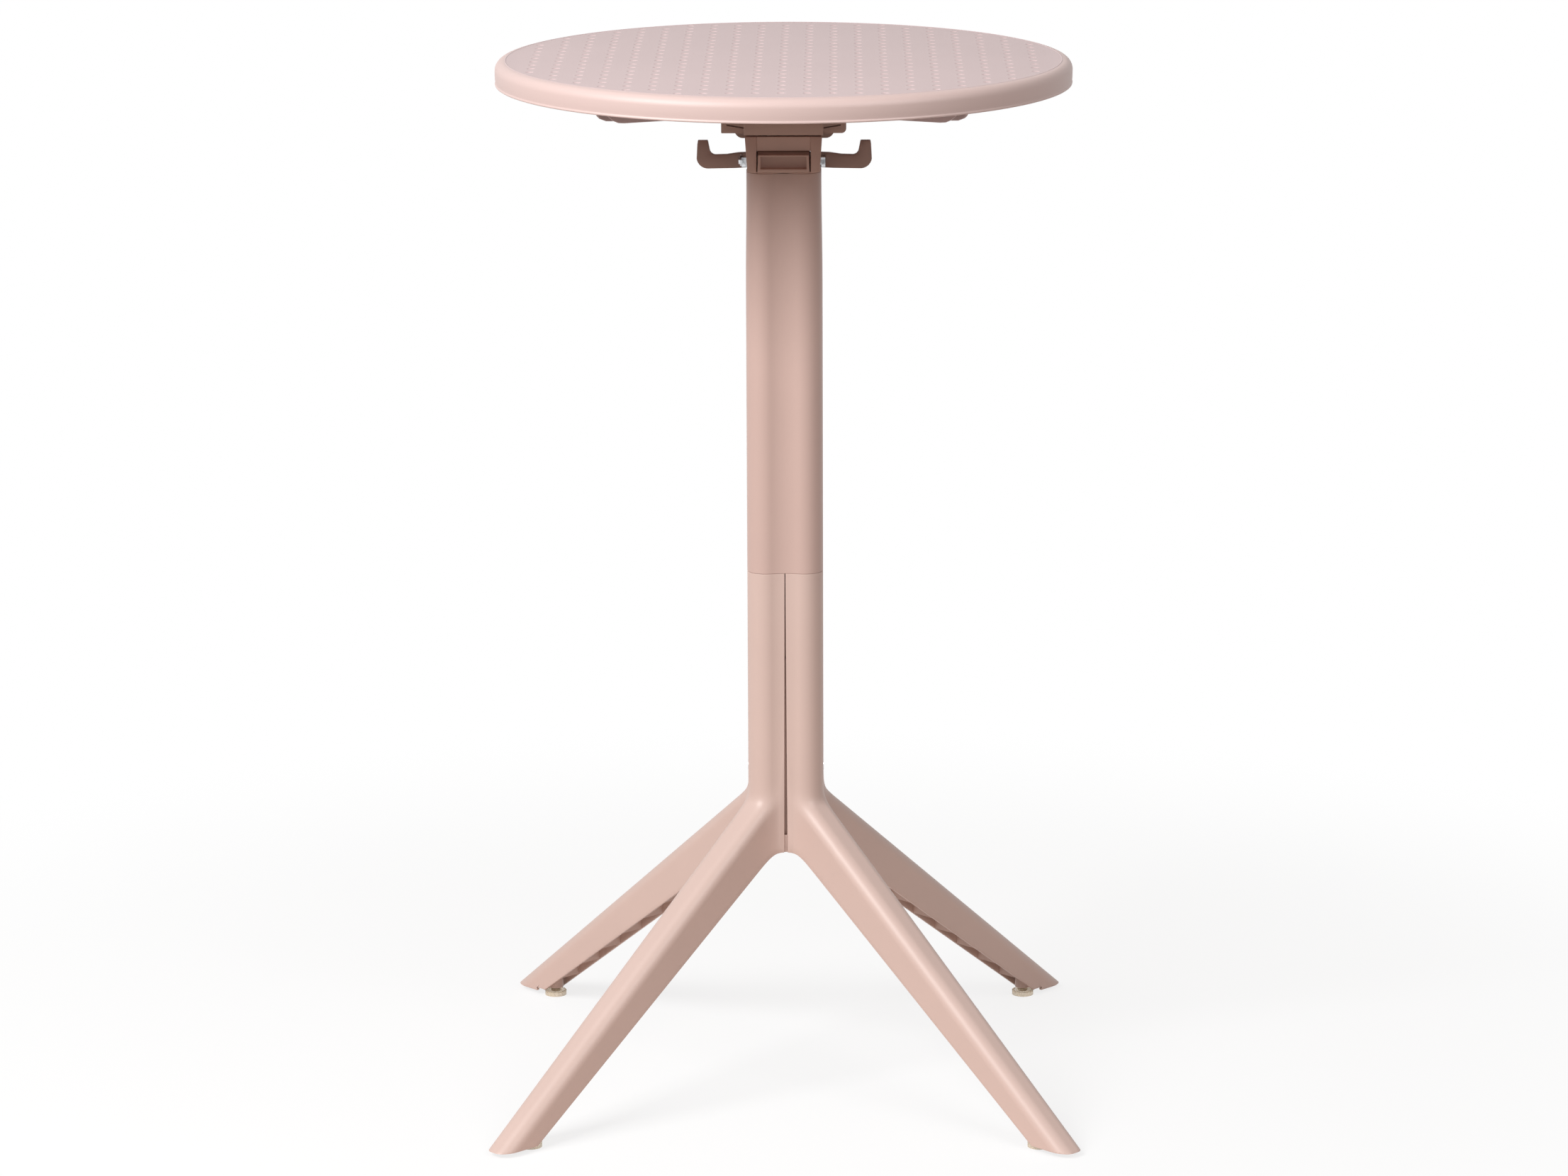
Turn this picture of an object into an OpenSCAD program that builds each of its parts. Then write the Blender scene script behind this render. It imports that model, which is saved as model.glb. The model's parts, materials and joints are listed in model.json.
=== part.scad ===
// Round tilt-top bar table on a four-legged column base.
// Millimetres, +Z up, origin on the floor under the column's axis, -Y is the side with the release lever.

/* [Overall] */
// Height of the table top's centre above the floor
table_h = 1100; // [1000:5:1200]
// Diameter over the rim
top_d = 600; // [560:5:700]

/* [Table top] */
// Thickness of the top's skin
panel_t = 4; // [3:0.5:5]
// Rise of the domed field over its border
crown = 1.8; // [1:0.1:4]
// Depth of the rim
rim_h = 26.8; // [20:0.2:32]
// Thickness of the rim's wall
rim_t = 3.6; // [3:0.2:5]
// Radius of the rim's shoulder
shoulder_r = 10; // [8:0.5:12]
// Width of the plain band between the border line and the rim's side
band_w = 11; // [10:0.5:16]
// Height of the fine border line
bead_h = 0.5; // [0.3:0.1:1]
// Spacing of the dimples
dimple_pitch = 25.85; // [20:0.05:40]
// Diameter of a dimple
dimple_d = 8.2; // [6:0.1:10]
// Depth of a dimple
dimple_depth = 1; // [0.5:0.1:1.5]
// Plain width left between the outermost dimples' centres and the border line
field_margin = 8; // [7:1:20]
// Thickness of the ribs under the top
rib_t = 2.6; // [2:0.2:3.4]
// Depth of the low ribs below the skin
rib_h = 10; // [6:1:12]
// Reach of the deep cross beams from the centre
beam_reach = 262; // [220:1:275]
// Width of a deep cross beam
beam_w = 22; // [16:1:30]

/* [Column] */
// Width over the column's flats
col_w = 80; // [76:1:92]
// Radius of the column's four lobes
lobe_r = 20; // [18:0.5:22]
// Depth of the groove along each face
groove_d = 3; // [2:0.25:4]
// Wall of the column
col_wall = 4; // [3:0.25:4.5]
// Height of the joint between the upper column and the legs
seam_z = 557; // [520:1:600]
// Length of the spigot that the leg halves clamp
spigot_len = 92; // [80:1:120]
// Height of the column's upper end, below the pivot
head_drop = 5; // [5:0.5:12]
// Length of the head's plug inside the column
plug_len = 66; // [56:1:90]

/* [Legs] */
// Distance from the axis to the tip of a leg
leg_reach = 425; // [390:1:450]
// Distance from the axis at which the leg's root is measured
leg_root_r = 60; // [55:1:66]
// Height of a leg's ridge at its root
ridge_z = 297; // [280:1:320]
// Upright depth of a leg at its root
leg_depth_root = 62; // [54:1:70]
// Upright depth of a leg at its tip
leg_depth_tip = 34; // [32:1:40]
// Width of a leg at its root
leg_w_root = 38; // [36:0.5:42]
// Width of a leg at its tip
leg_w_tip = 33; // [32:0.5:36]
// Rounding of a leg's ridge
leg_round = 14; // [11:0.5:15]
// Wall of a leg
leg_wall = 3.4; // [2.8:0.2:4]
// Height of the cut ends of the legs above the floor
foot_gap = 5; // [4:0.5:7]
// Spacing of the cross ribs along a leg
cross_rib_pitch = 34.5; // [28:0.5:50]
// Height of the arch between the legs
arch_z = 252; // [246:1:262]
// Gap of the split between the leg halves, at its upper end
split_top = 0.8; // [0.6:0.1:1.5]
// Gap of the split at its lower end
split_low = 3.4; // [2:0.1:4]

/* [Levelling glides] */
// Distance from the tip of a leg to the glide's axis
glide_setback = 52; // [44:1:58]
// Diameter of a glide's disc
glide_d = 24; // [20:0.5:26]
// Travel of a glide on its thread
glide_travel = 8; // [6:1:10]
// Diameter of a glide's stud
stud_d = 8; // [6:1:8]

/* [Head] */
// Thickness of the head's two ears
ear_t = 12; // [10:0.5:13]
// Height of the ears above the pivot
ear_h = 35; // [33:0.5:38]
// Reach of the ears in front of the column's face
ear_front = 8; // [6:0.5:10]
// Inward slope of the ears' outer faces, in degrees
ear_draft = 3.6; // [0:0.2:4]
// Height of the plate between the ears
fascia_h = 15; // [12:0.5:17]

/* [Tilt pivot] */
// Height of the pivot below the table's top
pivot_drop = 112; // [108:0.5:116]
// Distance of the pivot behind the column's axis
pivot_y = 21; // [20:0.25:24]
// Diameter of the pivot bolt
bolt_d = 8; // [6:1:8]

/* [Tilt bracket] */
// Width of the bracket under the top
bracket_w = 130; // [124:1:140]
// Thickness of the bracket's plate
bracket_t = 6; // [5:0.5:7]
// Width of the bracket's front skirt
skirt_w = 82; // [81:0.5:86]
// Rounding of the bracket's left lower corner
wing_round_left = 1; // [0.5:0.5:6]
// Rounding of the bracket's right lower corner
wing_round_right = 5; // [0.5:0.5:6]
// Width of the bracket's rear stop wall
stop_w = 105; // [90:1:110]
// Width of a pivot lug
lug_t = 10; // [8:0.5:12]
// Radius of a pivot lug
lug_r = 13; // [11:0.5:14]

/* [Release lever] */
// Width of the lever's pull frame
lever_w = 54; // [48:1:55]
// Height of the pull frame
lever_h = 18; // [16:0.5:18.5]
// Depth of the finger pocket
pocket_depth = 8; // [6:0.5:8.5]
// Diameter of the lever's pin
pin_d = 5; // [4:0.5:6]

/* [Bag hooks] */
// Width over both hooks
hooks_w = 184; // [170:1:200]
// Thickness of a hook
hook_t = 7; // [6:0.5:8]
// Depth of a hook's arm
hook_arm = 14.5; // [12:0.5:16]
// Rise of a hook's tip over its lower edge
hook_rise = 29.7; // [24:0.1:34]
// Width of a hook's tip at its top
hook_tip = 10.4; // [8:0.1:12]

/* [Hidden] */

$fn = 64;
eps = 0.01;
// Reach of cuts past the faces that they open
over = 2;
// Clearance between faces that slide into each other
slip = 0.3;
// Radial clearance of a shaft that turns or slides in its bore
running = 0.05;
// Radial clearance of a screw in its hole
screw_gap = 0.2;

shell_colour = "#d3b4a8";
field_colour = "#cdb3ae";
head_colour = "#a07e72";
hook_colour = "#7d5a4c";
steel_colour = "#c9ccd0";
zinc_colour = "#aeb4ba";
amber_colour = "#d8b98a";

// Heights and radii of the top
border_r = top_d / 2 - band_w;
border_z = table_h - crown;
rim_z = table_h - crown - rim_h + 2;
field_r = border_r - field_margin;
rib_top_z = table_h - panel_t + 0.8;
hub_x = 62;
hub_front_y = -46;
hub_back_y = 62;
ring_rib_gap = [85, 160];
ring_rib_r = [for (g = ring_rib_gap) hub_x + g];
radial_rib_in = hub_x + 26;
beam_root = 40;
beam_rise = 12.2;

// Heights of the pivot, head and bracket
pivot_z = table_h - pivot_drop;
beam_low_z = pivot_z + 56;
ear_top_z = pivot_z + ear_h;
head_z = pivot_z - head_drop;
skirt_top_z = pivot_z - 3;
ear_out = col_w / 2;
ear_in = ear_out - ear_t;
ear_seat = ear_out - tan(ear_draft) * ear_h;
ear_front_y = -col_w / 2 - ear_front;
ear_back_r = 18;
ear_slope_a = 52;
swing_low_z = pivot_z - lug_r - 8;
cheek_back_y = -24;
fascia_y = ear_front_y + 2;
fascia_t = 4;
bracket_z = ear_top_z + 13;
flange_z = ear_top_z - 0.5;
flange_t = 4.3;
flange_front_y = -20;
flange_back_y = 62;
skirt_gap = 1.5;
stop_y = 46;
stop_t = 4;
stop_clearance = 0.5;
stop_corner = 9;
stop_z = pivot_z + col_w / 2 + stop_clearance - pivot_y;
gusset_z = stop_z + 2;
lug_out = ear_in - 1;
lug_flare = 6;
bush_flange = 1 - slip;
bush_lip = 2;
sleeve_r = bolt_d / 2 + 2;
bush_r = sleeve_r + running + 1;
bracket_screw_x = bracket_w / 2 - 15;
bracket_screw_y = [-8, 36];
bracket_screw_d = 5;
bracket_screw_bite = 20;
screw_boss_d = bracket_screw_d + 9;

// Lever and latch
pin_y = ear_front_y + 12;
pin_z = ear_top_z - 20;
hub_r = pin_d / 2 + 4;
lever_z = skirt_top_z + 1.3;
lever_front_y = ear_front_y - 2;
lever_depth = 9.5;
lever_rim = 3.3;
lever_lip = 1.6;
arm_w = 24;
keeper_w = 24;
keeper_t = 1.5;
keeper_reach = 4.5;
keeper_z = ear_top_z + 3;
keeper_h = 9;
keeper_screw_d = 3;
keeper_screw_x = 8;
keeper_screw_z = keeper_z + 6;
latch_gap = 0.5;
skirt_inner_y = ear_front_y + 4;
keeper_tip_y = skirt_inner_y + keeper_reach;
nose_r = norm([keeper_tip_y - pivot_y, keeper_z - pivot_z]) - latch_gap;
spring_wire = 1.2;
spring_turns = 5;
spring_x = 13.5;
spring_len = 10;

// Pivot bolt, along X
washer_t = 1.6;
washer_r = bolt_d;
spot_r = washer_r + 0.6;
nut_af = bolt_d * 13 / 8;
nut_h = 6.8;
nut_collar_h = 1.6;
bolt_end = 1.5;
bolt_head_h = 5.3;

// Hooks
hook_y = pivot_y + spot_r;
hook_z = pivot_z - 10.2;
tenon_t = 4;
tenon_h = 9;
tenon_in = 7;
tenon_y = hook_y + 1;
tenon_z = hook_z + 8;
hook_screw_d = 3;
hook_screw_x = ear_seat - 4;
hook_screw_z = tenon_z + tenon_h / 2;
hook_screw_in = 6.8;
hook_bend_r = 12;
hook_throat_r = 6.6;

// Column joints
spigot_inset = col_wall + slip;
spigot_wall = 4;
joggle_t = 4;
clamp_z = [339, seam_z - 45];
clamp_boss_r = 9;
clamp_d = 8;
clamp_head_r = 6.5;
clamp_head_h = 4;
clamp_seat = col_w / 2 - groove_d - 0.6;
clamp_sink = 4.4;
web_z = [400, 440];
web_t = 3;
web_hole_r = 14;
head_screw_z = [head_z - 30, head_z - plug_len + 12];
head_seat_y = col_w / 2 - groove_d - 0.8;
head_sink_r = 5;
head_screw_d = 5;
tongue_h = 19;
tongue_t = 3;
lap_t = 2.5;
lap_half = 6;
lap_seat = 8;
lap_y = col_w / 2 - groove_d - col_wall;

// Legs and glides
glide_r = leg_reach - glide_setback;
tip_over = 8;
notch_out = 1;
notch_w = 12;
notch_h = 3.5;
cross_rib_t = 2;
cross_rib_first = 107;
cross_rib_rise = 0.8;
glide_disc_h = 5;
glide_dome_h = 3.5;
insert_z = glide_disc_h + glide_dome_h + 0.5;
insert_len = 12;
insert_r = stud_d / 2 + running + 1.9;
glide_boss_r = insert_r + 2.8;
stud_len = insert_len + glide_travel + 12;
scallops = 16;

// Points along an arc from angle a0 to a1
function arc(cx, cy, r, a0, a1, steps) =
    [for (i = [0:steps]) let (a = a0 + (a1 - a0) * i / steps) [cx + r * cos(a), cy + r * sin(a)]];

function turned(p, a) = [p[0] * cos(a) - p[1] * sin(a), p[0] * sin(a) + p[1] * cos(a)];

// The column's section: four lobes joined by shallow grooves, drawn in by inset
lobe_c = col_w / 2 - lobe_r;
groove_m = lobe_r - groove_d;
groove_r = (pow(lobe_c, 2) + pow(groove_m, 2) - pow(lobe_r, 2)) / (2 * groove_d);
groove_a = atan2(lobe_c, groove_m + groove_r);
groove_c = lobe_c + groove_m + groove_r;
function lobed(inset) = [
    for (q = [0:3])
        for (p = concat(
            arc(lobe_c, lobe_c, lobe_r - inset, -groove_a, 90 + groove_a, 14),
            arc(0, groove_c, groove_r + inset, groove_a * 0.6 - 90, -groove_a * 0.6 - 90, 3)
        )) turned(p, 90 * q)
];

// A leg's lines, as heights over the distance from the axis
ridge_slope = (ridge_z - foot_gap) / (leg_reach - leg_root_r);
function ridge(r) = ridge_z - ridge_slope * (r - leg_root_r);
function share(r) = (r - leg_root_r) / (leg_reach - leg_root_r);
function leg_depth(r) = leg_depth_root + (leg_depth_tip - leg_depth_root) * share(r);
function leg_width(r) = leg_w_root + (leg_w_tip - leg_w_root) * share(r);
crown_wall = leg_wall * sqrt(1 + ridge_slope * ridge_slope);

function surface_z(r) = table_h - crown * pow(r / border_r, 2);

module prism_x(x0, x1) {
    translate([x0, 0, 0]) rotate([90, 0, 90]) linear_extrude(x1 - x0) children();
}

module rod_x(x0, x1, r, y = 0, z = 0, sides = 64) {
    translate([x0, y, z]) rotate([0, 90, 0]) cylinder(h = x1 - x0, r = r, $fn = sides);
}

module rod_y(y0, y1, r, x = 0, z = 0) {
    translate([x, y0, z]) rotate([-90, 0, 0]) cylinder(h = y1 - y0, r = r);
}

module both_sides() {
    children();
    mirror([1, 0, 0]) children();
}

module at_bracket_screws(z) {
    for (x = [-bracket_screw_x, bracket_screw_x], y = bracket_screw_y) translate([x, y, z]) children();
}

module lobed_tube(z0, z1, outer, inner) {
    translate([0, 0, z0]) linear_extrude(z1 - z0) difference() {
        polygon(lobed(outer));
        polygon(lobed(inner));
    }
}

module pan_screw(d, length, head_r, head_h) {
    translate([0, 0, -length]) cylinder(h = length + eps, r = d / 2);
    cylinder(h = head_h, r1 = head_r, r2 = head_r * 0.72);
}

// Table top

module top_shell() {
    skin_z = border_z - panel_t;
    side_r = top_d / 2;
    rotate_extrude($fn = 128) polygon(concat(
        [for (i = [0:3]) let (r = (border_r - 1) * i / 3) [r, surface_z(r)]],
        [[border_r - 0.5, border_z + bead_h], [border_r + 0.5, border_z + bead_h]],
        [[border_r + 1, border_z]],
        arc(side_r - shoulder_r, border_z - shoulder_r, shoulder_r, 90, 0, 6),
        [[side_r - 0.7, rim_z + 3], [side_r, rim_z + 1.6], [side_r - 0.6, rim_z], [side_r - rim_t, rim_z]],
        arc(side_r - shoulder_r, border_z - shoulder_r, shoulder_r - rim_t, 0, 90, 4),
        [for (i = [3:-1:0]) let (r = (border_r - 1) * i / 3) [r, surface_z(r) - panel_t]]
    ));
}

module dimples() {
    reach = floor(field_r / dimple_pitch);
    for (i = [-reach:reach], j = [-reach:reach]) {
        r = dimple_pitch * norm([i, j]);
        if (r <= field_r)
            translate([i * dimple_pitch, j * dimple_pitch, surface_z(r) - dimple_depth])
                cylinder(h = dimple_depth + over, d = dimple_d, $fn = 24);
    }
}

module beam_plan(inset) {
    half = beam_w / 2 - inset;
    translate([beam_root, -half]) square([beam_reach - beam_w / 2 - beam_root, half * 2]);
    translate([beam_reach - beam_w / 2, 0]) circle(r = half);
}

module cross_beam() {
    low = beam_low_z;
    end_z = low + beam_rise;
    intersection() {
        translate([0, 0, low]) linear_extrude(rib_top_z - low) difference() {
            beam_plan(0);
            beam_plan(rib_t);
        }
        rotate([90, 0, 0]) translate([0, 0, -beam_w]) linear_extrude(beam_w * 2) polygon([
            [beam_root, rib_top_z], [beam_root, low], [beam_reach - beam_w, end_z],
            [beam_reach - beam_w * 0.6, end_z + 2], [beam_reach - beam_w * 0.27, end_z + 8],
            [beam_reach - 1, end_z + 18], [beam_reach + over, end_z + 28], [beam_reach + over, rib_top_z]
        ]);
    }
}

module hub_box() {
    low = bracket_z + bracket_t;
    translate([0, 0, low]) linear_extrude(rib_top_z - low) difference() {
        translate([-hub_x, hub_front_y]) square([hub_x * 2, hub_back_y - hub_front_y]);
        translate([rib_t - hub_x, hub_front_y + rib_t])
            square([(hub_x - rib_t) * 2, hub_back_y - hub_front_y - rib_t * 2]);
    }
}

module low_ribs() {
    low = rib_top_z - rib_h;
    for (r = ring_rib_r)
        translate([0, 0, low]) linear_extrude(rib_h) difference() {
            circle(r = r + rib_t / 2, $fn = 128);
            circle(r = r - rib_t / 2, $fn = 128);
        }
    side_r = top_d / 2 - rim_t / 2;
    bend_z = border_z - shoulder_r;
    bend_r = (shoulder_r - rim_t / 2) * cos(45);
    for (a = [0:22.5:359])
        rotate([90, 0, a]) translate([0, 0, -rib_t / 2]) linear_extrude(rib_t) polygon([
            [radial_rib_in, low], [side_r, low], [side_r, bend_z],
            [top_d / 2 - shoulder_r + bend_r, bend_z + bend_r],
            [top_d / 2 - shoulder_r, rib_top_z], [radial_rib_in, rib_top_z]
        ]);
}

module table_top() {
    color(field_colour) difference() {
        union() {
            top_shell();
            difference() {
                union() {
                    low_ribs();
                    for (a = [45:90:315]) rotate([0, 0, a]) cross_beam();
                }
                translate([-hub_x, hub_front_y, 0]) cube([hub_x * 2, hub_back_y - hub_front_y, table_h]);
            }
            hub_box();
            at_bracket_screws(bracket_z + bracket_t)
                cylinder(h = rib_top_z - bracket_z - bracket_t, d = screw_boss_d);
        }
        dimples();
        at_bracket_screws(bracket_z + bracket_t - over)
            cylinder(h = bracket_screw_bite + 4 + over, d = bracket_screw_d);
    }
}

// Tilt bracket, which turns on the pivot with the top

module bracket_plate() {
    translate([0, 0, bracket_z]) linear_extrude(bracket_t) {
        translate([-bracket_w / 2, flange_front_y]) square([bracket_w, flange_back_y - flange_front_y]);
        translate([-skirt_w / 2, ear_front_y]) square([skirt_w, flange_front_y - ear_front_y + eps]);
    }
}

module flange_walls() {
    translate([0, 0, flange_z]) linear_extrude(bracket_z - flange_z + eps) difference() {
        translate([-bracket_w / 2, flange_front_y]) square([bracket_w, flange_back_y - flange_front_y]);
        translate([flange_t - bracket_w / 2, flange_front_y + flange_t])
            square([bracket_w - flange_t * 2, flange_back_y - flange_front_y - flange_t * 2]);
        translate([-skirt_w / 2, flange_front_y - over]) square([skirt_w, flange_t + over * 2]);
    }
}

// What is cut off the right lower edge of the flange to round it
module edge_cut(r) {
    translate([bracket_w / 2 - r, 0, flange_z]) rotate([90, 0, 0])
        linear_extrude(bracket_w * 2, center = true) difference() {
            translate([0, -over]) square([r + over, r + over]);
            translate([0, r]) circle(r = r);
        }
}

module bracket_flange() {
    difference() {
        flange_walls();
        edge_cut(wing_round_right);
        mirror([1, 0, 0]) edge_cut(wing_round_left);
    }
}

module front_skirt() {
    low = ear_top_z + skirt_gap;
    wall = skirt_inner_y - ear_front_y;
    translate([0, 0, low]) linear_extrude(bracket_z - low + eps) {
        translate([-skirt_w / 2, ear_front_y]) square([skirt_w, wall]);
        both_sides() translate([skirt_w / 2 - wall, ear_front_y])
            square([wall, flange_front_y - ear_front_y + flange_t]);
    }
}

module stop_wall() {
    corner = stop_corner;
    translate([0, stop_y + stop_t, 0]) rotate([90, 0, 0]) linear_extrude(stop_t) {
        translate([-stop_w / 2, stop_z + corner]) square([stop_w, bracket_z - stop_z - corner + eps]);
        translate([corner - stop_w / 2, stop_z]) square([stop_w - corner * 2, corner + eps]);
        both_sides() translate([stop_w / 2 - corner, stop_z + corner]) circle(r = corner);
    }
}

module lug_profile() {
    translate([pivot_y, pivot_z]) circle(r = lug_r);
    polygon([
        [pivot_y - lug_r, pivot_z], [pivot_y - lug_r - lug_flare, bracket_z + eps],
        [pivot_y + lug_r + lug_flare, bracket_z + eps], [pivot_y + lug_r, pivot_z]
    ]);
}

module tilt_bracket() {
    color(head_colour) difference() {
        union() {
            bracket_plate();
            bracket_flange();
            front_skirt();
            stop_wall();
            both_sides() prism_x(lug_out - lug_t, lug_out) lug_profile();
            both_sides() translate([lug_out - lug_t, pivot_y + lug_r, gusset_z])
                cube([lug_t / 2, stop_y - pivot_y - lug_r + eps, bracket_z - gusset_z + eps]);
        }
        rod_x(-bracket_w, bracket_w, bush_r, pivot_y, pivot_z);
        at_bracket_screws(bracket_z - over)
            cylinder(h = bracket_t + over * 2, r = bracket_screw_d / 2 + screw_gap);
        for (s = [-keeper_screw_x, keeper_screw_x])
            rod_y(skirt_inner_y - 2.4, skirt_inner_y + over, keeper_screw_d / 2, s, keeper_screw_z);
    }
}

module bracket_screws() {
    color(steel_colour) at_bracket_screws(bracket_z)
        rotate([180, 0, 0]) pan_screw(bracket_screw_d, bracket_t + bracket_screw_bite, 4.8, 3);
}

module pivot_bushes() {
    color("#3a3632") both_sides() difference() {
        union() {
            rod_x(lug_out - lug_t, lug_out + eps, bush_r, pivot_y, pivot_z);
            rod_x(lug_out, lug_out + bush_flange, bush_r + bush_lip, pivot_y, pivot_z);
        }
        rod_x(lug_out - lug_t - over, lug_out + over, sleeve_r + running, pivot_y, pivot_z);
    }
}

module latch_keeper() {
    color(zinc_colour) difference() {
        union() {
            translate([-keeper_w / 2, skirt_inner_y, keeper_z]) cube([keeper_w, keeper_t, keeper_h]);
            translate([-keeper_w / 2, skirt_inner_y, keeper_z]) cube([keeper_w, keeper_reach, keeper_t]);
        }
        for (s = [-1, 1])
            rod_y(
                skirt_inner_y - over, skirt_inner_y + keeper_t + over, keeper_screw_d / 2 + screw_gap,
                s * keeper_screw_x, keeper_screw_z
            );
    }
}

module keeper_screws() {
    color(steel_colour) for (s = [-1, 1])
        translate([s * keeper_screw_x, skirt_inner_y + keeper_t, keeper_screw_z]) rotate([-90, 0, 0])
            pan_screw(keeper_screw_d, keeper_t + 2, 2.4, 1.4);
}

// Release lever, which turns on the latch pin

module lever_frame() {
    translate([0, lever_front_y + lever_depth, 0]) rotate([90, 0, 0]) linear_extrude(lever_depth)
        polygon([
            [-lever_w / 2, lever_z], [lever_w / 2, lever_z],
            [lever_w / 2 - 0.6, lever_z + lever_h], [0.6 - lever_w / 2, lever_z + lever_h]
        ]);
}

module lever_pocket() {
    translate([lever_rim - lever_w / 2, lever_front_y - over, lever_z + lever_rim])
        cube([lever_w - lever_rim * 2, pocket_depth + over, lever_h - lever_rim - lever_lip]);
}

module latch_arm() {
    half = pin_d / 2 + 2.5;
    back_y = pin_y + half;
    prism_x(-arm_w / 2, arm_w / 2) intersection() {
        polygon([
            [pin_y - half, pin_z], [pin_y - 1, keeper_z + keeper_t + slip],
            [pin_y - 3, keeper_z + keeper_t + 1], [pin_y + 1, keeper_z + keeper_t + 5],
            [back_y, keeper_z + keeper_t + 5], [back_y, pin_z]
        ]);
        translate([pivot_y, pivot_z]) circle(r = nose_r, $fn = 128);
    }
}

// The slot round the spring, which opens to the back
module spring_slot() {
    near = spring_x - 0.5;
    far = spring_x + spring_len + 0.5;
    r = hub_r - 1.6;
    rod_x(near, far, r, pin_y, pin_z);
    translate([near, pin_y, pin_z - r]) cube([far - near, hub_r + over, r * 2]);
}

module release_lever() {
    color(head_colour) difference() {
        union() {
            difference() {
                lever_frame();
                lever_pocket();
            }
            rod_x(-lever_w / 2, lever_w / 2, hub_r, pin_y, pin_z);
            translate([-lever_w / 2, lever_front_y + lever_depth - 1.5, lever_z + lever_h - 8])
                cube([lever_w, pin_y - lever_front_y - lever_depth + 1.5, 5.5]);
            latch_arm();
        }
        rod_x(-lever_w, lever_w, pin_d / 2 + running, pin_y, pin_z);
        both_sides() spring_slot();
    }
}

module latch_pin() {
    color(steel_colour) rod_x(-ear_out + 3.5, ear_out - 3.5, pin_d / 2, pin_y, pin_z);
}

// A coil round the pin with a short leg at each end, as one tube with six sides
module latch_spring() {
    coil_r = pin_d / 2 + spring_wire / 2 + 0.35;
    steps = 12;
    count = spring_turns * steps;
    pitch = spring_len / (spring_turns + 0.6);
    w = spring_wire / 2;
    path = [for (i = [0:count]) let (a = 360 * i / steps)
        [spring_x + w + 0.2 + pitch * i / steps, pin_y + coil_r * cos(a), pin_z + coil_r * sin(a)]];
    rings = [for (i = [0:count]) let (a = 360 * i / steps) [
        for (b = [0:60:300]) path[i] + [w * sin(b), w * cos(b) * cos(a), w * cos(b) * sin(a)]
    ]];
    color(steel_colour) polyhedron(
        points = [for (ring = rings) for (p = ring) p],
        faces = concat(
            [[for (k = [0:5]) k]],
            [for (i = [0:count - 1]) for (k = [0:5])
                [i * 6 + k, (i + 1) * 6 + k, (i + 1) * 6 + (k + 1) % 6, i * 6 + (k + 1) % 6]],
            [[for (k = [5:-1:0]) count * 6 + k]]
        )
    );
}

// Column head with the two ears

module ear_profile() {
    intersection() {
        translate([pivot_y, pivot_z]) circle(r = ear_back_r);
        translate([0, head_z]) square([col_w, col_w]);
    }
    polygon([
        [cheek_back_y - 4, head_z], [cheek_back_y - 4, ear_top_z], [-6, ear_top_z],
        [pivot_y + ear_back_r * cos(ear_slope_a), pivot_z + ear_back_r * sin(ear_slope_a)],
        [pivot_y + ear_back_r, pivot_z], [pivot_y + ear_back_r / 2, head_z]
    ]);
}

// The front part of an ear, seen from the front: it narrows downwards
module cheek() {
    low = skirt_top_z + 0.6;
    lean = tan(ear_draft);
    foot_x = ear_out - lean * (ear_top_z - low);
    translate([0, cheek_back_y, 0]) rotate([90, 0, 0]) linear_extrude(cheek_back_y - ear_front_y) polygon([
        [ear_in + 1, low], [foot_x - 2.5, low], [foot_x - 0.7, low + 0.7], [foot_x, low + 2.5],
        [ear_out, ear_top_z], [ear_in, ear_top_z], [ear_in, low + 3], [ear_in + 0.3, low + 0.8]
    ]);
}

module hook_socket(s) {
    translate([s > 0 ? ear_seat - tenon_in : -ear_seat - over, tenon_y - slip / 2, tenon_z - slip / 2])
        cube([tenon_in + over, tenon_t + slip, tenon_h + slip]);
}

// The space behind the axis in which the bracket's lugs turn
module swing_space() {
    translate([-ear_in, 0, swing_low_z]) cube([ear_in * 2, col_w, col_w]);
}

// The flats that the washers sink into
module spot_faces() {
    both_sides() rod_x(ear_seat - washer_t, col_w, spot_r, pivot_y, pivot_z);
}

module column_head() {
    inner = spigot_inset + spigot_wall;
    color(head_colour) difference() {
        union() {
            lobed_tube(head_z - plug_len, head_z + eps, spigot_inset, inner);
            lobed_tube(head_z, skirt_top_z, 0, inner);
            both_sides() prism_x(ear_in, ear_seat) ear_profile();
            both_sides() cheek();
            translate([-ear_in - 1, fascia_y, ear_top_z - fascia_h])
                cube([ear_in * 2 + 2, fascia_t, fascia_h]);
        }
        rod_x(-col_w, col_w, bolt_d / 2 + screw_gap, pivot_y, pivot_z);
        rod_x(-ear_out + 3.5, ear_out - 3.5, pin_d / 2, pin_y, pin_z);
        spot_faces();
        swing_space();
        for (s = [-1, 1]) {
            hook_socket(s);
            translate([s * hook_screw_x, 0, hook_screw_z]) {
                rod_y(hook_y, pivot_y + col_w, hook_screw_d / 2 + screw_gap);
                rod_y(hook_y + hook_screw_in, pivot_y + col_w, hook_screw_d + 0.4);
            }
        }
        for (z = head_screw_z)
            rod_y(0, col_w, head_screw_d / 2, 0, z);
    }
}

// Upper column, whose spigot sits in the leg halves

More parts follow.
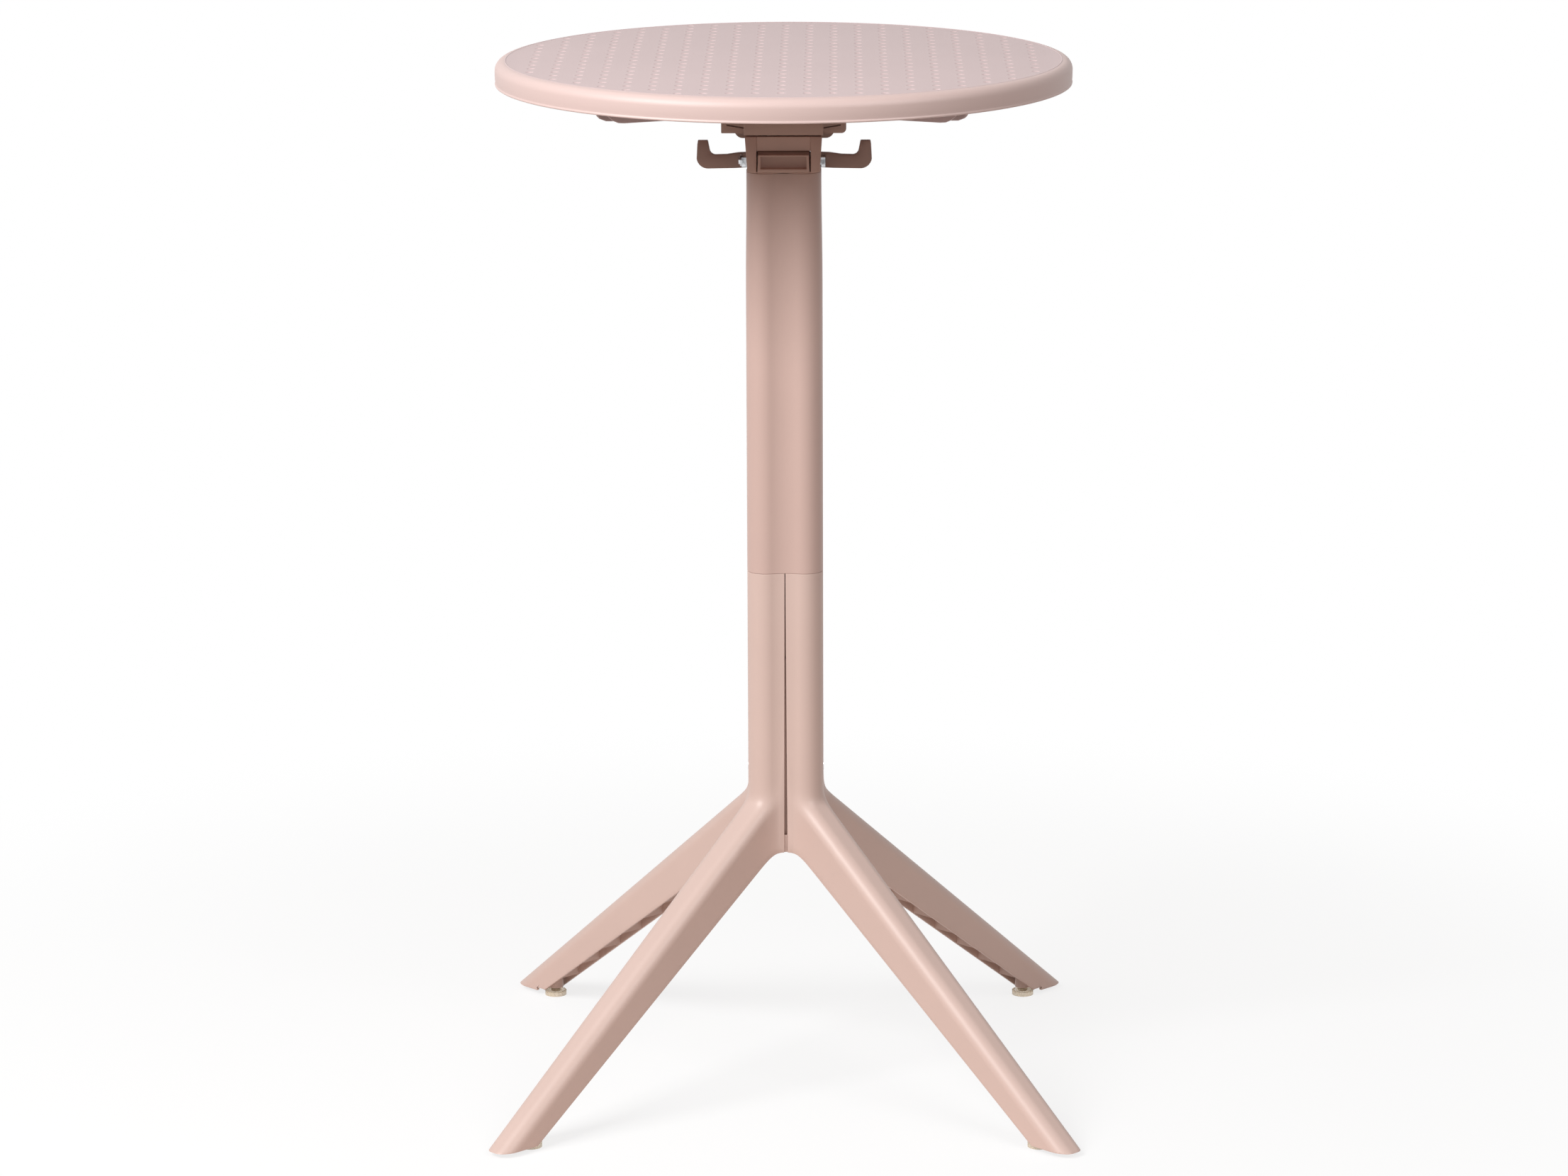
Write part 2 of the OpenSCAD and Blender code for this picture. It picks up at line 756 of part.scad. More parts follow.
module upper_column() {
    inner = spigot_inset + spigot_wall;
    color(shell_colour) difference() {
        union() {
            lobed_tube(seam_z, head_z, 0, col_wall);
            lobed_tube(seam_z, seam_z + joggle_t, eps, inner);
            lobed_tube(seam_z - spigot_len, seam_z + eps, spigot_inset, inner);
        }
        rod_x(-col_w, col_w, clamp_boss_r + slip, 0, clamp_z[1]);
        spot_faces();
        swing_space();
        for (z = head_screw_z) {
            rod_y(0, col_w, head_screw_d / 2 + screw_gap, 0, z);
            rod_y(head_seat_y, col_w, head_sink_r, 0, z);
        }
    }
}

module head_screws() {
    color(steel_colour) for (z = head_screw_z)
        translate([0, head_seat_y, z]) rotate([-90, 0, 0])
            pan_screw(head_screw_d, 9, 4.6, 2.6);
}

// Pivot hardware, along X

module pivot_bolt() {
    color(zinc_colour) union() {
        rod_x(-ear_seat - nut_h - nut_collar_h - bolt_end, ear_seat + eps, bolt_d / 2, pivot_y, pivot_z);
        rod_x(ear_seat, ear_seat + bolt_head_h, nut_af / 2 / cos(30), pivot_y, pivot_z, 6);
    }
}

module pivot_nut() {
    end = ear_seat + nut_h;
    color(zinc_colour) difference() {
        union() {
            rod_x(-end, -ear_seat, nut_af / 2 / cos(30), pivot_y, pivot_z, 6);
            rod_x(-end - nut_collar_h, -end + eps, nut_af / 2 - 0.6, pivot_y, pivot_z);
        }
        rod_x(-col_w, 0, bolt_d / 2, pivot_y, pivot_z);
    }
}

module pivot_washers() {
    color(steel_colour) both_sides() difference() {
        rod_x(ear_seat - washer_t, ear_seat, washer_r, pivot_y, pivot_z);
        rod_x(0, col_w, bolt_d / 2 + screw_gap, pivot_y, pivot_z);
    }
}

module pivot_sleeve() {
    color(zinc_colour) difference() {
        rod_x(-ear_in, ear_in, sleeve_r, pivot_y, pivot_z);
        rod_x(-col_w, col_w, bolt_d / 2 + running, pivot_y, pivot_z);
    }
}

// Bag hooks, each a flat J whose tenon enters the head

module hook_outline() {
    out = hooks_w / 2;
    low = hook_z;
    arm_top = low + hook_arm;
    tip = out - hook_tip - 1.6;
    polygon(concat(
        [[ear_seat, low + 1.2], [ear_seat + 14, low + 0.5]],
        arc(out - hook_bend_r, low + hook_bend_r, hook_bend_r, -90, -8, 8),
        [[out - 0.9, low + hook_rise - 4], [out - 1.6, low + hook_rise], [tip, low + hook_rise]],
        [[tip - 1.4, low + hook_rise - 7]],
        arc(tip - 8.4, arm_top + hook_throat_r, hook_throat_r, -6, -84, 5),
        [[tip - 20, arm_top + 0.4], [ear_seat + 10, arm_top + 2.2], [ear_seat, arm_top + 2.6]]
    ));
}

module bag_hook() {
    color(hook_colour) difference() {
        union() {
            translate([0, hook_y + hook_t, 0]) rotate([90, 0, 0]) linear_extrude(hook_t) hook_outline();
            translate([ear_seat - tenon_in + slip, tenon_y, tenon_z])
                cube([tenon_in - slip + eps, tenon_t, tenon_h]);
        }
        rod_y(hook_y, hook_y + hook_t, hook_screw_d / 2, hook_screw_x, hook_screw_z);
    }
}

module left_bag_hook() {
    mirror([1, 0, 0]) bag_hook();
}

module right_bag_hook() {
    bag_hook();
}

module hook_screws() {
    color(steel_colour) for (s = [-1, 1])
        translate([s * hook_screw_x, hook_y + hook_screw_in, hook_screw_z]) rotate([-90, 0, 0])
            pan_screw(hook_screw_d, 5.5, 2.8, 1.8);
}

// Leg halves

// A leg's upright section at distance r from the axis: flat sides, rounded ridge
module leg_slice(r, inset, drop) {
    half = leg_width(r) / 2 - inset;
    fillet = leg_round - inset;
    top = ridge(r) - (inset > 0 ? crown_wall * inset / leg_wall : 0);
    low = ridge(r) - leg_depth(r) - drop;
    translate([r, 0, 0]) rotate([90, 0, 90]) linear_extrude(eps) polygon(concat(
        [[half, low]],
        arc(half - fillet, top - fillet, fillet, 0, 90, 6),
        arc(fillet - half, top - fillet, fillet, 90, 180, 6),
        [[-half, low]]
    ));
}

module leg_body(inset, drop) {
    hull() {
        leg_slice(20, inset, drop);
        leg_slice(leg_reach + tip_over, inset, drop);
    }
}

module cross_ribs() {
    last = glide_r - glide_boss_r - 4;
    for (r = [cross_rib_first:cross_rib_pitch:last])
        translate([r, -leg_w_root / 2, 0]) cube([cross_rib_t, leg_w_root, ridge_z]);
}

// The space over the line that the cross ribs end on
module over_rib_line() {
    far = leg_reach + tip_over;
    translate([0, leg_w_root, 0]) rotate([90, 0, 0]) linear_extrude(leg_w_root * 2) polygon([
        [0, ridge(0) - leg_depth(0) + cross_rib_rise], [far, ridge(far) - leg_depth(far) + cross_rib_rise],
        [far, ridge_z * 2], [0, ridge_z * 2]
    ]);
}

module leg_inside() {
    intersection() {
        union() {
            intersection() {
                cross_ribs();
                over_rib_line();
            }
            translate([glide_r, 0, insert_z]) cylinder(h = ridge_z, r = glide_boss_r);
        }
        leg_body(leg_wall / 2, ridge_z);
    }
}

module glide_bore() {
    translate([glide_r, 0, 0]) {
        cylinder(h = insert_z + insert_len, r = insert_r);
        cylinder(h = insert_z + stud_len - 7, r = stud_d / 2 + screw_gap * 2);
    }
}

// The notch beside each glide, in the leg's outer wall
module foot_notches() {
    for (end = [0, 1]) mirror([0, end, 0]) rotate([0, 0, 135])
        translate([glide_r + notch_out, 0, 0]) cube([notch_w, leg_w_root, foot_gap + notch_h]);
}

module at_half_legs() {
    for (a = [135, 225]) rotate([0, 0, a]) children();
}

// The left half's side of the split, whose gap widens downwards
module left_of_split() {
    top = seam_z + over;
    translate([0, col_w * 8, 0]) rotate([90, 0, 0]) linear_extrude(col_w * 16) polygon([
        [-leg_reach - 50, -over], [-split_low / 2, -over], [-split_low / 2, arch_z],
        [-split_top / 2, seam_z], [-split_top / 2, top], [-leg_reach - 50, top]
    ]);
}

module clamp_boss(z) {
    intersection() {
        rod_x(-col_w / 2, -slip / 2, clamp_boss_r, 0, z);
        translate([0, 0, z - col_w]) linear_extrude(col_w * 2) polygon(lobed(eps));
    }
}

module half_webs() {
    for (z = web_z)
        translate([0, 0, z]) linear_extrude(web_t) difference() {
            polygon(lobed(col_wall / 2));
            circle(r = web_hole_r);
            translate([-split_low / 2, -col_w]) square([col_w * 2, col_w * 2]);
            for (y = [lap_y - lap_t - slip * 2, -col_w])
                translate([-lap_seat - slip, y]) square([col_w, col_w - lap_y + lap_t + slip * 2]);
        }
}

module half_walls() {
    difference() {
        intersection() {
            union() {
                translate([0, 0, arch_z]) linear_extrude(seam_z - arch_z) polygon(lobed(0));
                at_half_legs() leg_body(0, 0);
            }
            left_of_split();
        }
        translate([0, 0, -over]) linear_extrude(seam_z + over * 2) polygon(lobed(col_wall));
        at_half_legs() leg_body(leg_wall, ridge_z);
        translate([-leg_reach * 2, -leg_reach * 2, -over])
            cube([leg_reach * 4, leg_reach * 4, foot_gap + over]);
        foot_notches();
    }
}

// What closes the split: a strip behind each gap below the spigot, and a tongue in its lower end
module laps() {
    lap_h = seam_z - spigot_len - slip * 3 - arch_z;
    for (end = [0, 1]) mirror([0, end, 0]) {
        translate([-lap_seat, lap_y - lap_t, arch_z]) cube([lap_seat + lap_half, lap_t - slip, lap_h]);
        translate([-lap_seat, lap_y - lap_t, arch_z]) cube([lap_seat - split_low / 2, lap_t + 1, lap_h]);
        translate([-lap_seat, lap_y + 0.4, arch_z])
            cube([lap_seat + split_low / 2 - slip, tongue_t, tongue_h]);
    }
}

module leg_half() {
    difference() {
        union() {
            half_walls();
            at_half_legs() leg_inside();
            half_webs();
            for (z = clamp_z) clamp_boss(z);
        }
        at_half_legs() glide_bore();
        for (z = clamp_z) rod_x(-col_w, over, clamp_d / 2 + screw_gap, 0, z);
        rod_x(-col_w, -clamp_seat, clamp_head_r + 0.6, 0, clamp_z[0]);
        rod_x(-col_w, clamp_sink - clamp_seat, clamp_head_r + 0.6, 0, clamp_z[1]);
    }
}

module left_leg_half() {
    color(shell_colour) union() {
        leg_half();
        laps();
    }
}

module right_leg_half() {
    color(shell_colour) mirror([1, 0, 0]) leg_half();
}

// Sleeve bolts that clamp the halves: the upper one is sunk
module clamp_bolts() {
    color(steel_colour) for (i = [0, 1]) {
        seat = clamp_seat - clamp_sink * i;
        rod_x(-seat + 8, seat + eps, clamp_d / 2, 0, clamp_z[i]);
        translate([seat, 0, clamp_z[i]]) rotate([0, 90, 0])
            cylinder(h = clamp_head_h, r1 = clamp_head_r, r2 = clamp_head_r * 0.8);
    }
}

module clamp_nuts() {
    color(steel_colour) for (i = [0, 1]) {
        seat = clamp_seat - clamp_sink * i;
        rod_x(-seat - eps, -seat + 8 - slip, clamp_d / 2, 0, clamp_z[i]);
        translate([-seat, 0, clamp_z[i]]) rotate([0, -90, 0])
            cylinder(h = clamp_head_h, r1 = clamp_head_r, r2 = clamp_head_r * 0.8);
    }
}

// Levelling glides

module at_leg(side, end) {
    rotate([0, 0, atan2(end, side)]) translate([glide_r, 0, 0]) children();
}

module glide_inserts() {
    color(zinc_colour) for (side = [-1, 1], end = [-1, 1])
        at_leg(side, end) translate([0, 0, insert_z]) difference() {
            cylinder(h = insert_len, r = insert_r);
            translate([0, 0, -over]) cylinder(h = insert_len + over * 2, r = stud_d / 2 + running);
        }
}

module glide(side, end) {
    color(amber_colour) at_leg(side, end) difference() {
        union() {
            cylinder(h = glide_disc_h, d = glide_d);
            translate([0, 0, glide_disc_h - eps])
                cylinder(h = glide_dome_h, r1 = glide_d / 2 - 2.5, r2 = insert_r);
        }
        for (i = [0:scallops - 1])
            rotate([0, 0, 360 * i / scallops]) translate([glide_d / 2 + 0.9, 0, 1.2])
                cylinder(h = glide_disc_h, r = 1.5, $fn = 16);
        translate([0, 0, 3]) cylinder(h = glide_d, r = stud_d / 2);
    }
}

module stud(side, end) {
    color(steel_colour) at_leg(side, end) translate([0, 0, 3]) cylinder(h = stud_len - 3, r = stud_d / 2);
}

module front_left_glide() { glide(-1, -1); }
module front_right_glide() { glide(1, -1); }
module back_left_glide() { glide(-1, 1); }
module back_right_glide() { glide(1, 1); }
module front_left_stud() { stud(-1, -1); }
module front_right_stud() { stud(1, -1); }
module back_left_stud() { stud(-1, 1); }
module back_right_stud() { stud(1, 1); }

table_top();
tilt_bracket();
bracket_screws();
pivot_bushes();
latch_keeper();
keeper_screws();
release_lever();
latch_pin();
latch_spring();
column_head();
upper_column();
head_screws();
pivot_bolt();
pivot_nut();
pivot_washers();
pivot_sleeve();
left_bag_hook();
right_bag_hook();
hook_screws();
left_leg_half();
right_leg_half();
clamp_bolts();
clamp_nuts();
glide_inserts();
front_left_glide();
front_right_glide();
back_left_glide();
back_right_glide();
front_left_stud();
front_right_stud();
back_left_stud();
back_right_stud();
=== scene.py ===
# %% [markdown]
# # A tilt-top bar table
#
# The table is moulded in one dusty-pink plastic. Its round top is dimpled, its column has four soft lobes,
# and each lobe runs down into a leg. The CAD frame gives every size. This lesson dresses it: smooth meshes
# where the eye rests, fine plastic grain, and the light of a white studio.

# %% Load the frame
import json
import math

import bpy
import numpy as np
from mathutils import Matrix, Vector


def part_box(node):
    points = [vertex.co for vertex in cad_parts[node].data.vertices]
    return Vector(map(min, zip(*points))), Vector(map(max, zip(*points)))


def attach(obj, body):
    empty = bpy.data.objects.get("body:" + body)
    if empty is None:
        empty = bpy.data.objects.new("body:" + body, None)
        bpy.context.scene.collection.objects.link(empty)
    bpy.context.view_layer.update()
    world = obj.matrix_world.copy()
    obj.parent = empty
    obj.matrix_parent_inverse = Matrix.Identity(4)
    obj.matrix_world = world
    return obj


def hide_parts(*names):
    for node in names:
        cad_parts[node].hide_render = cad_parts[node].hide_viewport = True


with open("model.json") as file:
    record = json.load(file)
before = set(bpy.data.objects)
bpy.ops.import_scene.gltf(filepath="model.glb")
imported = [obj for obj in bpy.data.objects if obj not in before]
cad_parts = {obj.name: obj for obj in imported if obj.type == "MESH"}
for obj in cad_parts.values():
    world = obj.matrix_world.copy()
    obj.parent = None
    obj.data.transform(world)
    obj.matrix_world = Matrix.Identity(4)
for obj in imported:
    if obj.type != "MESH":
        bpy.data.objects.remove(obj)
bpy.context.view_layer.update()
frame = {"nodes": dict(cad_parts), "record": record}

MM = 0.001
nodes = frame["nodes"]

# %% [markdown]
# ## The camera
#
# The photograph was taken from far away with a long lens, a little above the top. A camera can be moved by
# eye until the pictures agree, but every later comparison would carry that guess. So its perspective was
# solved from the round rim, the dimples and the four feet, and the values below are that solution.

# %% Camera
PHOTO_WIDTH = 2212
FOCAL_PIXELS = 7825
SENSOR = 36
SIGHT_END = 100
CAMERA_DISTANCE = 5.735
CAMERA_HEIGHT = 1.878
CAMERA_PITCH = math.radians(13.2)
CAMERA_AZIMUTH = math.radians(0.6)
CAMERA_ROLL = math.radians(-0.2)
CAMERA_SHIFT_LEFT = 0.0015

camera_data = bpy.data.cameras.new("camera")
camera_data.lens = FOCAL_PIXELS * SENSOR / PHOTO_WIDTH
camera_data.sensor_width = SENSOR
camera_data.clip_end = SIGHT_END
camera = bpy.data.objects.new("camera", camera_data)
bpy.context.scene.collection.objects.link(camera)
camera.location = (
    CAMERA_DISTANCE * math.sin(CAMERA_AZIMUTH) - CAMERA_SHIFT_LEFT,
    -CAMERA_DISTANCE * math.cos(CAMERA_AZIMUTH),
    CAMERA_HEIGHT,
)
turn = Matrix.Rotation(CAMERA_AZIMUTH, 3, "Z") @ Matrix.Rotation(math.pi / 2 - CAMERA_PITCH, 3, "X")
camera.rotation_euler = (turn @ Matrix.Rotation(CAMERA_ROLL, 3, "Z")).to_euler()
bpy.context.scene.camera = camera
print("lens", round(camera_data.lens, 1), "mm")

# %% [markdown]
# ## Shader maths as Python
#
# A finish is a tree of nodes. It could be wired link by link, but an expression is easier to read. `Value`
# wraps a socket, and its operators add Math nodes. `Paint` holds the tree of one material, or of the world,
# and makes any other node with its one method `node`.

# %% A socket that does maths
class Value:
    def __init__(self, paint, socket):
        self.paint = paint
        self.socket = socket

    def math(self, operation, other):
        return self.paint.node("ShaderNodeMath", {"operation": operation}, {0: self, 1: other})

    def __add__(self, other):
        return self.math("ADD", other)

    def __mul__(self, other):
        return self.math("MULTIPLY", other)

    __radd__ = __add__
    __rmul__ = __mul__


# %% A tree to paint with
class Paint:
    def __init__(self, holder, shader="Principled BSDF"):
        holder.use_nodes = True
        self.holder = holder
        self.tree = holder.node_tree
        self.shader = self.tree.nodes[shader]

    def node(self, kind, settings=None, inputs=None, output=0):
        """A new node: its settings first, then the values or links of its sockets."""
        made = self.tree.nodes.new(kind)
        for key, value in (settings or {}).items():
            setattr(made, key, value)
        for key, value in (inputs or {}).items():
            self.feed(made.inputs[key], value)
        return Value(self, made.outputs[output])

    def feed(self, socket, value):
        if isinstance(value, Value):
            self.tree.links.new(value.socket, socket)
        else:
            socket.default_value = value

    def mix(self, factor, first, second):
        """One colour that turns into another as the factor goes from 0 to 1."""
        sockets = {"Factor": factor, "A": first, "B": second}
        return self.node("ShaderNodeMix", {"data_type": "RGBA"}, sockets, "Result")

    def seen(self):
        """1 for rays from the camera, a mirror or clear plastic, and 0 for those that light a surface."""
        camera_ray, mirror_ray, clear_ray = [
            self.node("ShaderNodeLightPath", output=f"Is {kind} Ray")
            for kind in ("Camera", "Glossy", "Transmission")
        ]
        return camera_ray.math("MAXIMUM", mirror_ray).math("MAXIMUM", clear_ray)

    def finish(self, **inputs):
        """Feeds the shader's sockets, with an underscore for each space of their names."""
        for name, value in inputs.items():
            self.feed(self.shader.inputs[name.replace("_", " ")], value)
        print("finish", self.holder.name)
        return self.holder


def rgb(red, green, blue):
    return (red, green, blue, 1.0)


# %% [markdown]
# ## Plastic
#
# The plastic is filled with glass fibre and moulded in a spark-eroded tool, so it is matt with a fine grain.
# A photographed texture would show its seams and its own light, so three noises make it here: a fine one for
# the grain's bump, a broad faint one for the melt's flow, and a fleck between the two. All the table's parts
# share the recipe. They are all one pink plastic, but the column's colour is darkened and the head, bracket,
# lever and hooks are given darker browns: painted shade, for the shade the top throws on them. The top's
# border is a little warmer than its field.

# %% Noise that stays on the piece
def noise(paint, scale, detail):
    place = paint.node("ShaderNodeTexCoord", output="Object")
    return paint.node("ShaderNodeTexNoise", None, {"Vector": place, "Scale": scale, "Detail": detail})


# %% Grained plastic
GRAIN_SPAN = 4
FLOW_SCALE = 9.0
FLECK_SCALE = 420.0
FLECK_SHARE = 0.25
GLOSS_SWING = 0.12
BORDER_FROM, BORDER_TO = 0.2885, 0.2915


def beyond_border(paint):
    """0 on the top's field and 1 beyond its border line."""
    place = paint.node("ShaderNodeTexCoord", output="Object")
    flat = paint.node("ShaderNodeVectorMath", {"operation": "MULTIPLY"}, {0: place, 1: (1, 1, 0)})
    radius = paint.node("ShaderNodeVectorMath", {"operation": "LENGTH"}, {0: flat}, "Value")
    ends = {"Value": radius, "From Min": BORDER_FROM, "From Max": BORDER_TO}
    return paint.node("ShaderNodeMapRange", None, ends)


def grained_plastic(name, colour, grain=0.00035, depth=0.12, roughness=0.42, drift=0.04, rim=None):
    paint = Paint(bpy.data.materials.new(name))
    fine = noise(paint, 1 / (grain * GRAIN_SPAN), 3.0)
    light = rgb(*(min(c * (1 + drift), 1) for c in colour))
    dark = rgb(*(c * (1 - drift) for c in colour))
    tone = paint.mix(noise(paint, FLOW_SCALE, 3.0), dark, light)
    tone = paint.mix(noise(paint, FLECK_SCALE, 1.0) * FLECK_SHARE, tone, dark)
    if rim:
        tone = paint.mix(beyond_border(paint), tone, rgb(*rim))
    bump = paint.node("ShaderNodeBump", None, {"Strength": depth, "Distance": grain, "Height": fine})
    rough = fine * GLOSS_SWING + (roughness - GLOSS_SWING / 2)
    return paint.finish(Base_Color=tone, Roughness=rough, Normal=bump)


# %% The table's plastics
PINK = (0.648, 0.49, 0.437)
# painted shade: the column is the legs' pink, darkened to stand for the shade the top throws down it
COLUMN_PINK_PAINTED_SHADE = (0.6, 0.433, 0.385)
FIELD_PINK = (0.602, 0.47, 0.467)
RIM_PINK = (0.67, 0.512, 0.48)
# painted shade: the head, lever, bracket and hooks are the table's pink plastic, and these darker browns
# stand for the shade under the top, darkest for the hooks farther back
HEAD_PAINTED_SHADE = (0.57, 0.38, 0.315)
BRACKET_PAINTED_SHADE = (0.5, 0.335, 0.275)
HOOK_PAINTED_SHADE = (0.4, 0.255, 0.21)
BUSH_BLACK = (0.03, 0.028, 0.026)
COARSE = {"grain": 0.0004, "depth": 0.2}

pink_plastic = grained_plastic("dusty_pink_plastic", PINK)
column_plastic = grained_plastic("dusty_pink_painted_shade_column", COLUMN_PINK_PAINTED_SHADE)
top_plastic = grained_plastic("dusty_pink_top", FIELD_PINK, roughness=0.46, rim=RIM_PINK)
# painted shade: these three materials carry the darker browns for the shade under the top
head_plastic = grained_plastic("head_plastic", HEAD_PAINTED_SHADE, **COARSE)
bracket_painted_shade_plastic = grained_plastic("bracket_painted_shade_plastic", BRACKET_PAINTED_SHADE, **COARSE)
hook_plastic = grained_plastic("hook_plastic", HOOK_PAINTED_SHADE, roughness=0.38, **COARSE)
bush_plastic = grained_plastic("black_bush_plastic", BUSH_BLACK, roughness=0.35, drift=0.1)

# %% [markdown]
# ## Steel and clear plastic
#
# The fasteners are stainless or bright zinc-plated steel, and small. Threads and stamped heads could be
# modelled, but at this size a soft blotch of tarnish and fine scratches are enough. The glides are moulded
# in a clear amber plastic that lets some light through.

# %% Fastener steel
STAINLESS_GREY = (0.78, 0.77, 0.76)
ZINC_GREY = (0.8, 0.82, 0.85)
# painted shade: a dark grey for steel that sits in the dark behind the lever
PAINTED_SHADE_GREY = (0.16, 0.155, 0.15)
BLOTCH_SCALE = 160.0
BLOTCH_FROM, BLOTCH_TO = 0.35, 0.65
BLOTCH_GLOSS = 0.2
SCRATCH_SCALE = 2400.0
SCRATCH_DEPTH = 0.0001
SCRATCH_STRENGTH = 0.1


def fastener_steel(name, colour, roughness, shade=0.82):
    """Steel whose blotches sink to a share of its colour."""
    paint = Paint(bpy.data.materials.new(name))
    blotch = noise(paint, BLOTCH_SCALE, 4.0)
    ends = {"Value": blotch, "From Min": BLOTCH_FROM, "From Max": BLOTCH_TO}
    spread = paint.node("ShaderNodeMapRange", None, ends)
    tone = paint.mix(spread, rgb(*(c * shade for c in colour)), rgb(*colour))
    scratches = noise(paint, SCRATCH_SCALE, 2.0)
    relief = {"Strength": SCRATCH_STRENGTH, "Distance": SCRATCH_DEPTH, "Height": scratches}
    bump = paint.node("ShaderNodeBump", None, relief)
    rough = blotch * BLOTCH_GLOSS + roughness
    return paint.finish(Base_Color=tone, Metallic=1.0, Roughness=rough, Normal=bump)


stainless_steel = fastener_steel("stainless_steel", STAINLESS_GREY, 0.22)
zinc_steel = fastener_steel("bright_zinc_steel", ZINC_GREY, 0.14, shade=0.3)
# painted shade: this dark steel stands for the shade behind the lever
painted_shade_steel = fastener_steel("painted_shade_hidden_steel", PAINTED_SHADE_GREY, 0.45)


# %% Amber glide plastic
AMBER, PALE_AMBER = rgb(0.74, 0.6, 0.4), rgb(0.86, 0.76, 0.6)
CLOUD_SCALE = 90.0
CLOUD_GLOSS = 0.1
AMBER_ROUGHNESS = 0.12
CLEARNESS = 0.55
AMBER_IOR = 1.5


def amber_plastic():
    paint = Paint(bpy.data.materials.new("amber_glide_plastic"))
    cloud = noise(paint, CLOUD_SCALE, 2.0)
    return paint.finish(
        Base_Color=paint.mix(cloud, AMBER, PALE_AMBER), Roughness=cloud * CLOUD_GLOSS + AMBER_ROUGHNESS,
        Transmission_Weight=CLEARNESS, IOR=AMBER_IOR,
    )


glide_plastic = amber_plastic()

# %% [markdown]
# ## Modelling helpers
#
# An operator works on whatever is selected, as it does under the hand, so every helper first lets go of
# everything. Edges and faces are then picked in code by their place. The mesh could be written point by
# point instead, but the operators keep the order in which a maker would shape the piece.

# %% Selecting and naming
def let_go():
    if bpy.context.mode != "OBJECT":
        bpy.ops.object.mode_set(mode="OBJECT")
    bpy.ops.object.select_all(action="DESELECT")


def hold(piece):
    let_go()
    piece.select_set(True)
    bpy.context.view_layer.objects.active = piece
    return piece


def named(name, piece=None):
    """Gives a piece, or the one just added, its name."""
    piece = piece or bpy.context.object
    piece.name = piece.data.name = name
    return piece


def join(name, pieces):
    hold(pieces[0])
    for piece in pieces:
        piece.select_set(True)
    if len(pieces) > 1:
        bpy.ops.object.join()
    return named(name, bpy.context.view_layer.objects.active)


# %% Points and edit mode
def points_of(piece):
    flat = np.empty(len(piece.data.vertices) * 3)
    piece.data.vertices.foreach_get("co", flat)
    return flat.reshape(-1, 3)


def place_points(piece, points):
    piece.data.vertices.foreach_set("co", np.asarray(points, float).ravel())
    piece.data.update()


def edit(piece, select=None):
    """Edit mode with the vertices that select picks, or with all of them."""
    hold(piece)
    bpy.ops.object.mode_set(mode="EDIT")
    bpy.ops.mesh.select_mode(type="VERT")
    bpy.ops.mesh.select_all(action="SELECT" if select is None else "DESELECT")
    if select is not None:
        bpy.ops.object.mode_set(mode="OBJECT")
        piece.data.vertices.foreach_set("select", select(points_of(piece)))
        bpy.ops.object.mode_set(mode="EDIT")


def leave_edit():
    bpy.ops.object.mode_set(mode="OBJECT")


# %% Modifiers, seams and shading
def apply(piece, kind, **settings):
    hold(piece)
    modifier = piece.modifiers.new(kind.lower(), kind)
    for key, value in settings.items():
        setattr(modifier, key, value)
    bpy.ops.object.modifier_apply(modifier=modifier.name)
    return piece


def sew(piece, distance=0.00002, outwards=True):
    """Merges the points of a seam and turns the faces outwards."""
    edit(piece)
    bpy.ops.mesh.remove_doubles(threshold=distance)
    if outwards:
        bpy.ops.mesh.select_all(action="SELECT")
        bpy.ops.mesh.normals_make_consistent(inside=False)
    leave_edit()
    return piece


def smooth(piece, angle):
    hold(piece)
    bpy.ops.object.shade_smooth_by_angle(angle=math.radians(angle))
    return piece


# %% Dressing a piece
def dress(piece, body, slot, material, *stands_for):
    """Gives a finished piece its material and its body, and hides the CAD nodes it stands for; slot is not
    used.
    """
    piece.data.materials.clear()
    piece.data.materials.append(material)
    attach(piece, body)
    if stands_for:
        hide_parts(*stands_for)
    print(piece.name, len(piece.data.polygons), "faces")
    return piece


# %% [markdown]
# ## The dimpled field
#
# The top is a shallow dome with a fine line near its edge and hundreds of round dimples on a square grid.
# Cutting each dimple with a Boolean would be slow and leave long thin faces. So one dimple is modelled in a
# square tile: the tile's edge is pulled in to a circle and inset down into the plastic. Two Array modifiers
# repeat it, tiles beyond the grid's reach go, and the dome is bent in last.

# %% Sizes of the top, in millimetres
TOP_R = 300.0
TOP_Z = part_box("table_top")[1].z / MM
CROWN = 1.8
RIM_H = 26.8
RIM_START = 2.0
BORDER_R = 289.0
FIELD_GAP = 1.1
PITCH = 25.85
REACH = 281.0
PANEL = 4.0
border_z = TOP_Z - CROWN
rim_z = border_z - RIM_H + RIM_START
print("top", round(TOP_Z, 2), "rim", round(rim_z, 2))


def dome(r):
    return TOP_Z - CROWN * (r / BORDER_R) ** 2


# %% One dimple in its tile
TINY = 0.00001
TILE_SIDES = 16
DIMPLE_R = 4.1
DIMPLE_DEPTH = 1.0
DIMPLE_RINGS = [
    (DIMPLE_R + 0.8, 0), (DIMPLE_R + 0.35, 0), (DIMPLE_R, 0.1), (DIMPLE_R - 0.25, 0.3),
    (DIMPLE_R - 0.7, DIMPLE_DEPTH - 0.3), (DIMPLE_R - 1.4, DIMPLE_DEPTH - 0.05),
    (DIMPLE_R - 2.6, DIMPLE_DEPTH),
]


